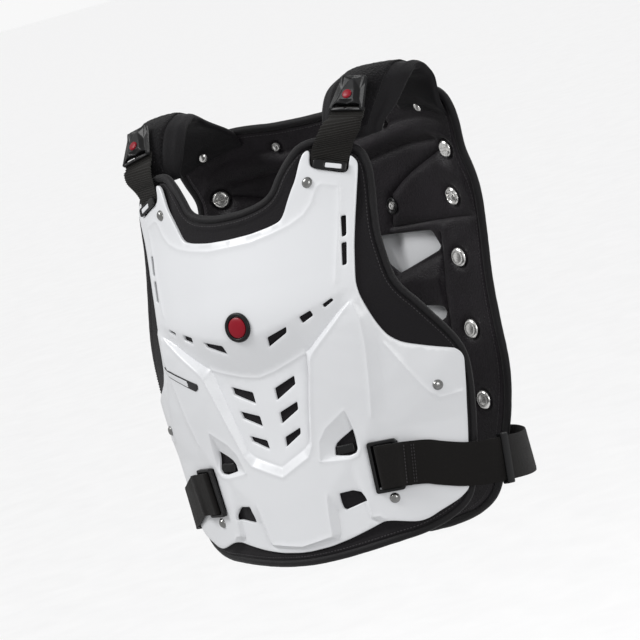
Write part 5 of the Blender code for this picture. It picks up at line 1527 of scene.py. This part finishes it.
def buildStrapFittings():
    middle, along, out, up = strapFrame(0.45)
    wall = strap["buckleWall"]
    left = frameRing("sideBuckleLeft", middle - out * (wall + form["gap"]), along, up, out,
                     strap["buckleHalf"], strap["buckleHole"], wall, .0030)
    finishPair(left, "side_buckle")
    middle, along, out, up = strapFrame(7.5)
    centre = middle - along * (.5 * strap["keeperLong"]) + out * (.5 * strap["wall"])
    left = frameRing("strapKeeperLeft", centre, -out, up, along, strap["keeperHalf"], strap["keeperHole"],
                     strap["keeperLong"], .0016)
    finishPair(left, "strap_keeper")


def sewStrap():
    # rows of stitches across the doubled end of the elastic
    tree = BVHTree.FromObject(bpy.data.objects["sideStrapLeft"], bpy.context.evaluated_depsgraph_get())
    runs = []
    for place in strap["stitchRows"]:
        middle, along, out, up = strapFrame(place)
        for n in range(-6, 6):
            a = middle + up * (n * .0033 + .0005)
            low, high = (tree.ray_cast(p + out * .010, -out)[0] for p in (a, a + up * .0022))
            if low and high:
                runs.append((low, high, out))
    left = stitches("strapStitchesLeft", runs)
    finishPiece(otherSide(left, "strapStitchesRight"), None)
    finishPiece(left, None)


buildStrap()
buildStrapFittings()
buildRing()
bpy.context.view_layer.update()
sewStrap()
print("side straps ready")

# small slides behind the upper windows
slide = {"at": (.375, -.3575), "half": (0.0095, 0.0042), "seat": 0.0008, "wall": 0.0040}


def buildSlide():
    (s0, z0), = unroll((slide["at"],), form["frontRadius"])
    wide, tall = slide["half"]

    def place(u, v, out):
        base = form["plateWall"] + form["gap"] + linerSink(s0 + u, z0 + v)
        return plateAt(s0 + u, z0 + v, out - base)
    loop = dense(fillet([(-wide, -tall), (wide, -tall), (wide, tall), (-wide, tall)], .0015, True), .0008, True)
    flat, faces = net(loop, [grow(loop, -.0003) + grow(loop, -.0003)[:1]], .0010, halves=False)
    fall = lip(nearLines(flat, [loop + loop[:1]]), .0009)
    ribs = [.0003 * math.cos(u * 2 * math.pi / .0022) for u, v in flat]
    left = shell("innerSlideLeft", flat, faces,
                 [place(u, v, slide["wall"] - drop + rib) for (u, v), drop, rib in zip(flat, fall, ribs)],
                 [place(u, v, slide["seat"]) for u, v in flat], shades["black"], halves=False, sharp=50)
    finishPair(left, "inner_slide")


buildSlide()
print("slides ready")

# floor, light and camera
studio = {
    "lens": 168.75, "from": (1.78833, -2.53364, 0.16138),
    "right": (0.80433195, 0.52813351, -0.27225928), "up": (0.15511346, 0.25568647, 0.9542349),
    "back": (0.57357644, -0.8097527, 0.12373618), "aim": (0, 0, -.2),
    "floorTone": (0.97, 0.97, 0.973), "floorBounce": 0.50, "floorSize": 400, "hangs": 1.0,
    "worldTone": (1.0, 1.0, 1.0), "worldLevel": 0.50, "worldSeen": 0.94,
    "sunFrom": (-0.75, -0.72, 1.20), "sunLevel": 1.95, "sunSpread": 0.45,
    # place, watts, width
    "lamps": {
        "fillLight": ((2.4, -1.6, 0.3), 23, 1.2),
        "backLight": ((1.4, 2.4, 1.5), 26, 1.0),
    },
}


def buildStudio():
    low = cadBox[0][2] - studio["hangs"]
    size = studio["floorSize"]
    corners = [(-size, -size, low), (size, -size, low), (size, size, low), (-size, size, low)]
    floorSkin = moulded("paleFloor", studio["floorTone"], 0.7, bump=0.0)
    add, link = nodeTree(floorSkin.node_tree)
    skin = floorSkin.node_tree.nodes["Principled BSDF"]
    bounce = add("ShaderNodeMapRange")  # the floor throws back less light than it shows
    bounce.inputs["To Min"].default_value = studio["floorBounce"]
    link(add("ShaderNodeLightPath").outputs["Is Camera Ray"], bounce.inputs["Value"])
    tone = add("ShaderNodeVectorMath", operation="SCALE")
    link(skin.inputs["Base Color"].links[0].from_socket, tone.inputs[0])
    link(bounce.outputs[0], tone.inputs["Scale"])
    link(tone.outputs[0], skin.inputs["Base Color"])
    floor = meshPiece("paleFloor", corners, [(0, 1, 2, 3)], floorSkin)
    world = bpy.data.worlds.new("softRoom")
    bpy.context.scene.world = world
    world.use_nodes = True
    add, link = nodeTree(world.node_tree)
    background = world.node_tree.nodes["Background"]
    background.inputs["Color"].default_value = (*studio["worldTone"], 1)
    seen = add("ShaderNodeMapRange")  # behind the floor's far edge the room looks as pale as the floor
    seen.inputs["To Min"].default_value = studio["worldLevel"]
    seen.inputs["To Max"].default_value = studio["worldSeen"]
    link(add("ShaderNodeLightPath").outputs["Is Camera Ray"], seen.inputs["Value"])
    link(seen.outputs[0], background.inputs["Strength"])
    data = bpy.data.lights.new("softSun", "SUN")
    data.energy, data.angle = studio["sunLevel"], studio["sunSpread"]
    sun = bpy.data.objects.new("softSun", data)
    bpy.context.scene.collection.objects.link(sun)
    sun.matrix_world = Vector(studio["sunFrom"]).to_track_quat("Z", "Y").to_matrix().to_4x4()
    for name, (place, power, wide) in studio["lamps"].items():
        data = bpy.data.lights.new(name, "AREA")
        data.energy, data.size = power, wide
        lamp = bpy.data.objects.new(name, data)
        bpy.context.scene.collection.objects.link(lamp)
        aim = Vector(studio["aim"]) - Vector(place)
        lamp.matrix_world = Matrix.Translation(place) @ aim.to_track_quat("-Z", "Y").to_matrix().to_4x4()
    data = bpy.data.cameras.new("photoCamera")
    data.lens, data.sensor_width = studio["lens"], 36
    camera = bpy.data.objects.new("photoCamera", data)
    bpy.context.scene.collection.objects.link(camera)
    turn = Matrix((studio["right"], studio["up"], studio["back"])).transposed().to_4x4()
    camera.matrix_world = Matrix.Translation(studio["from"]) @ turn
    bpy.context.scene.camera = camera
    bpy.context.scene.view_settings.view_transform = "Standard"


buildStudio()
bpy.context.view_layer.update()
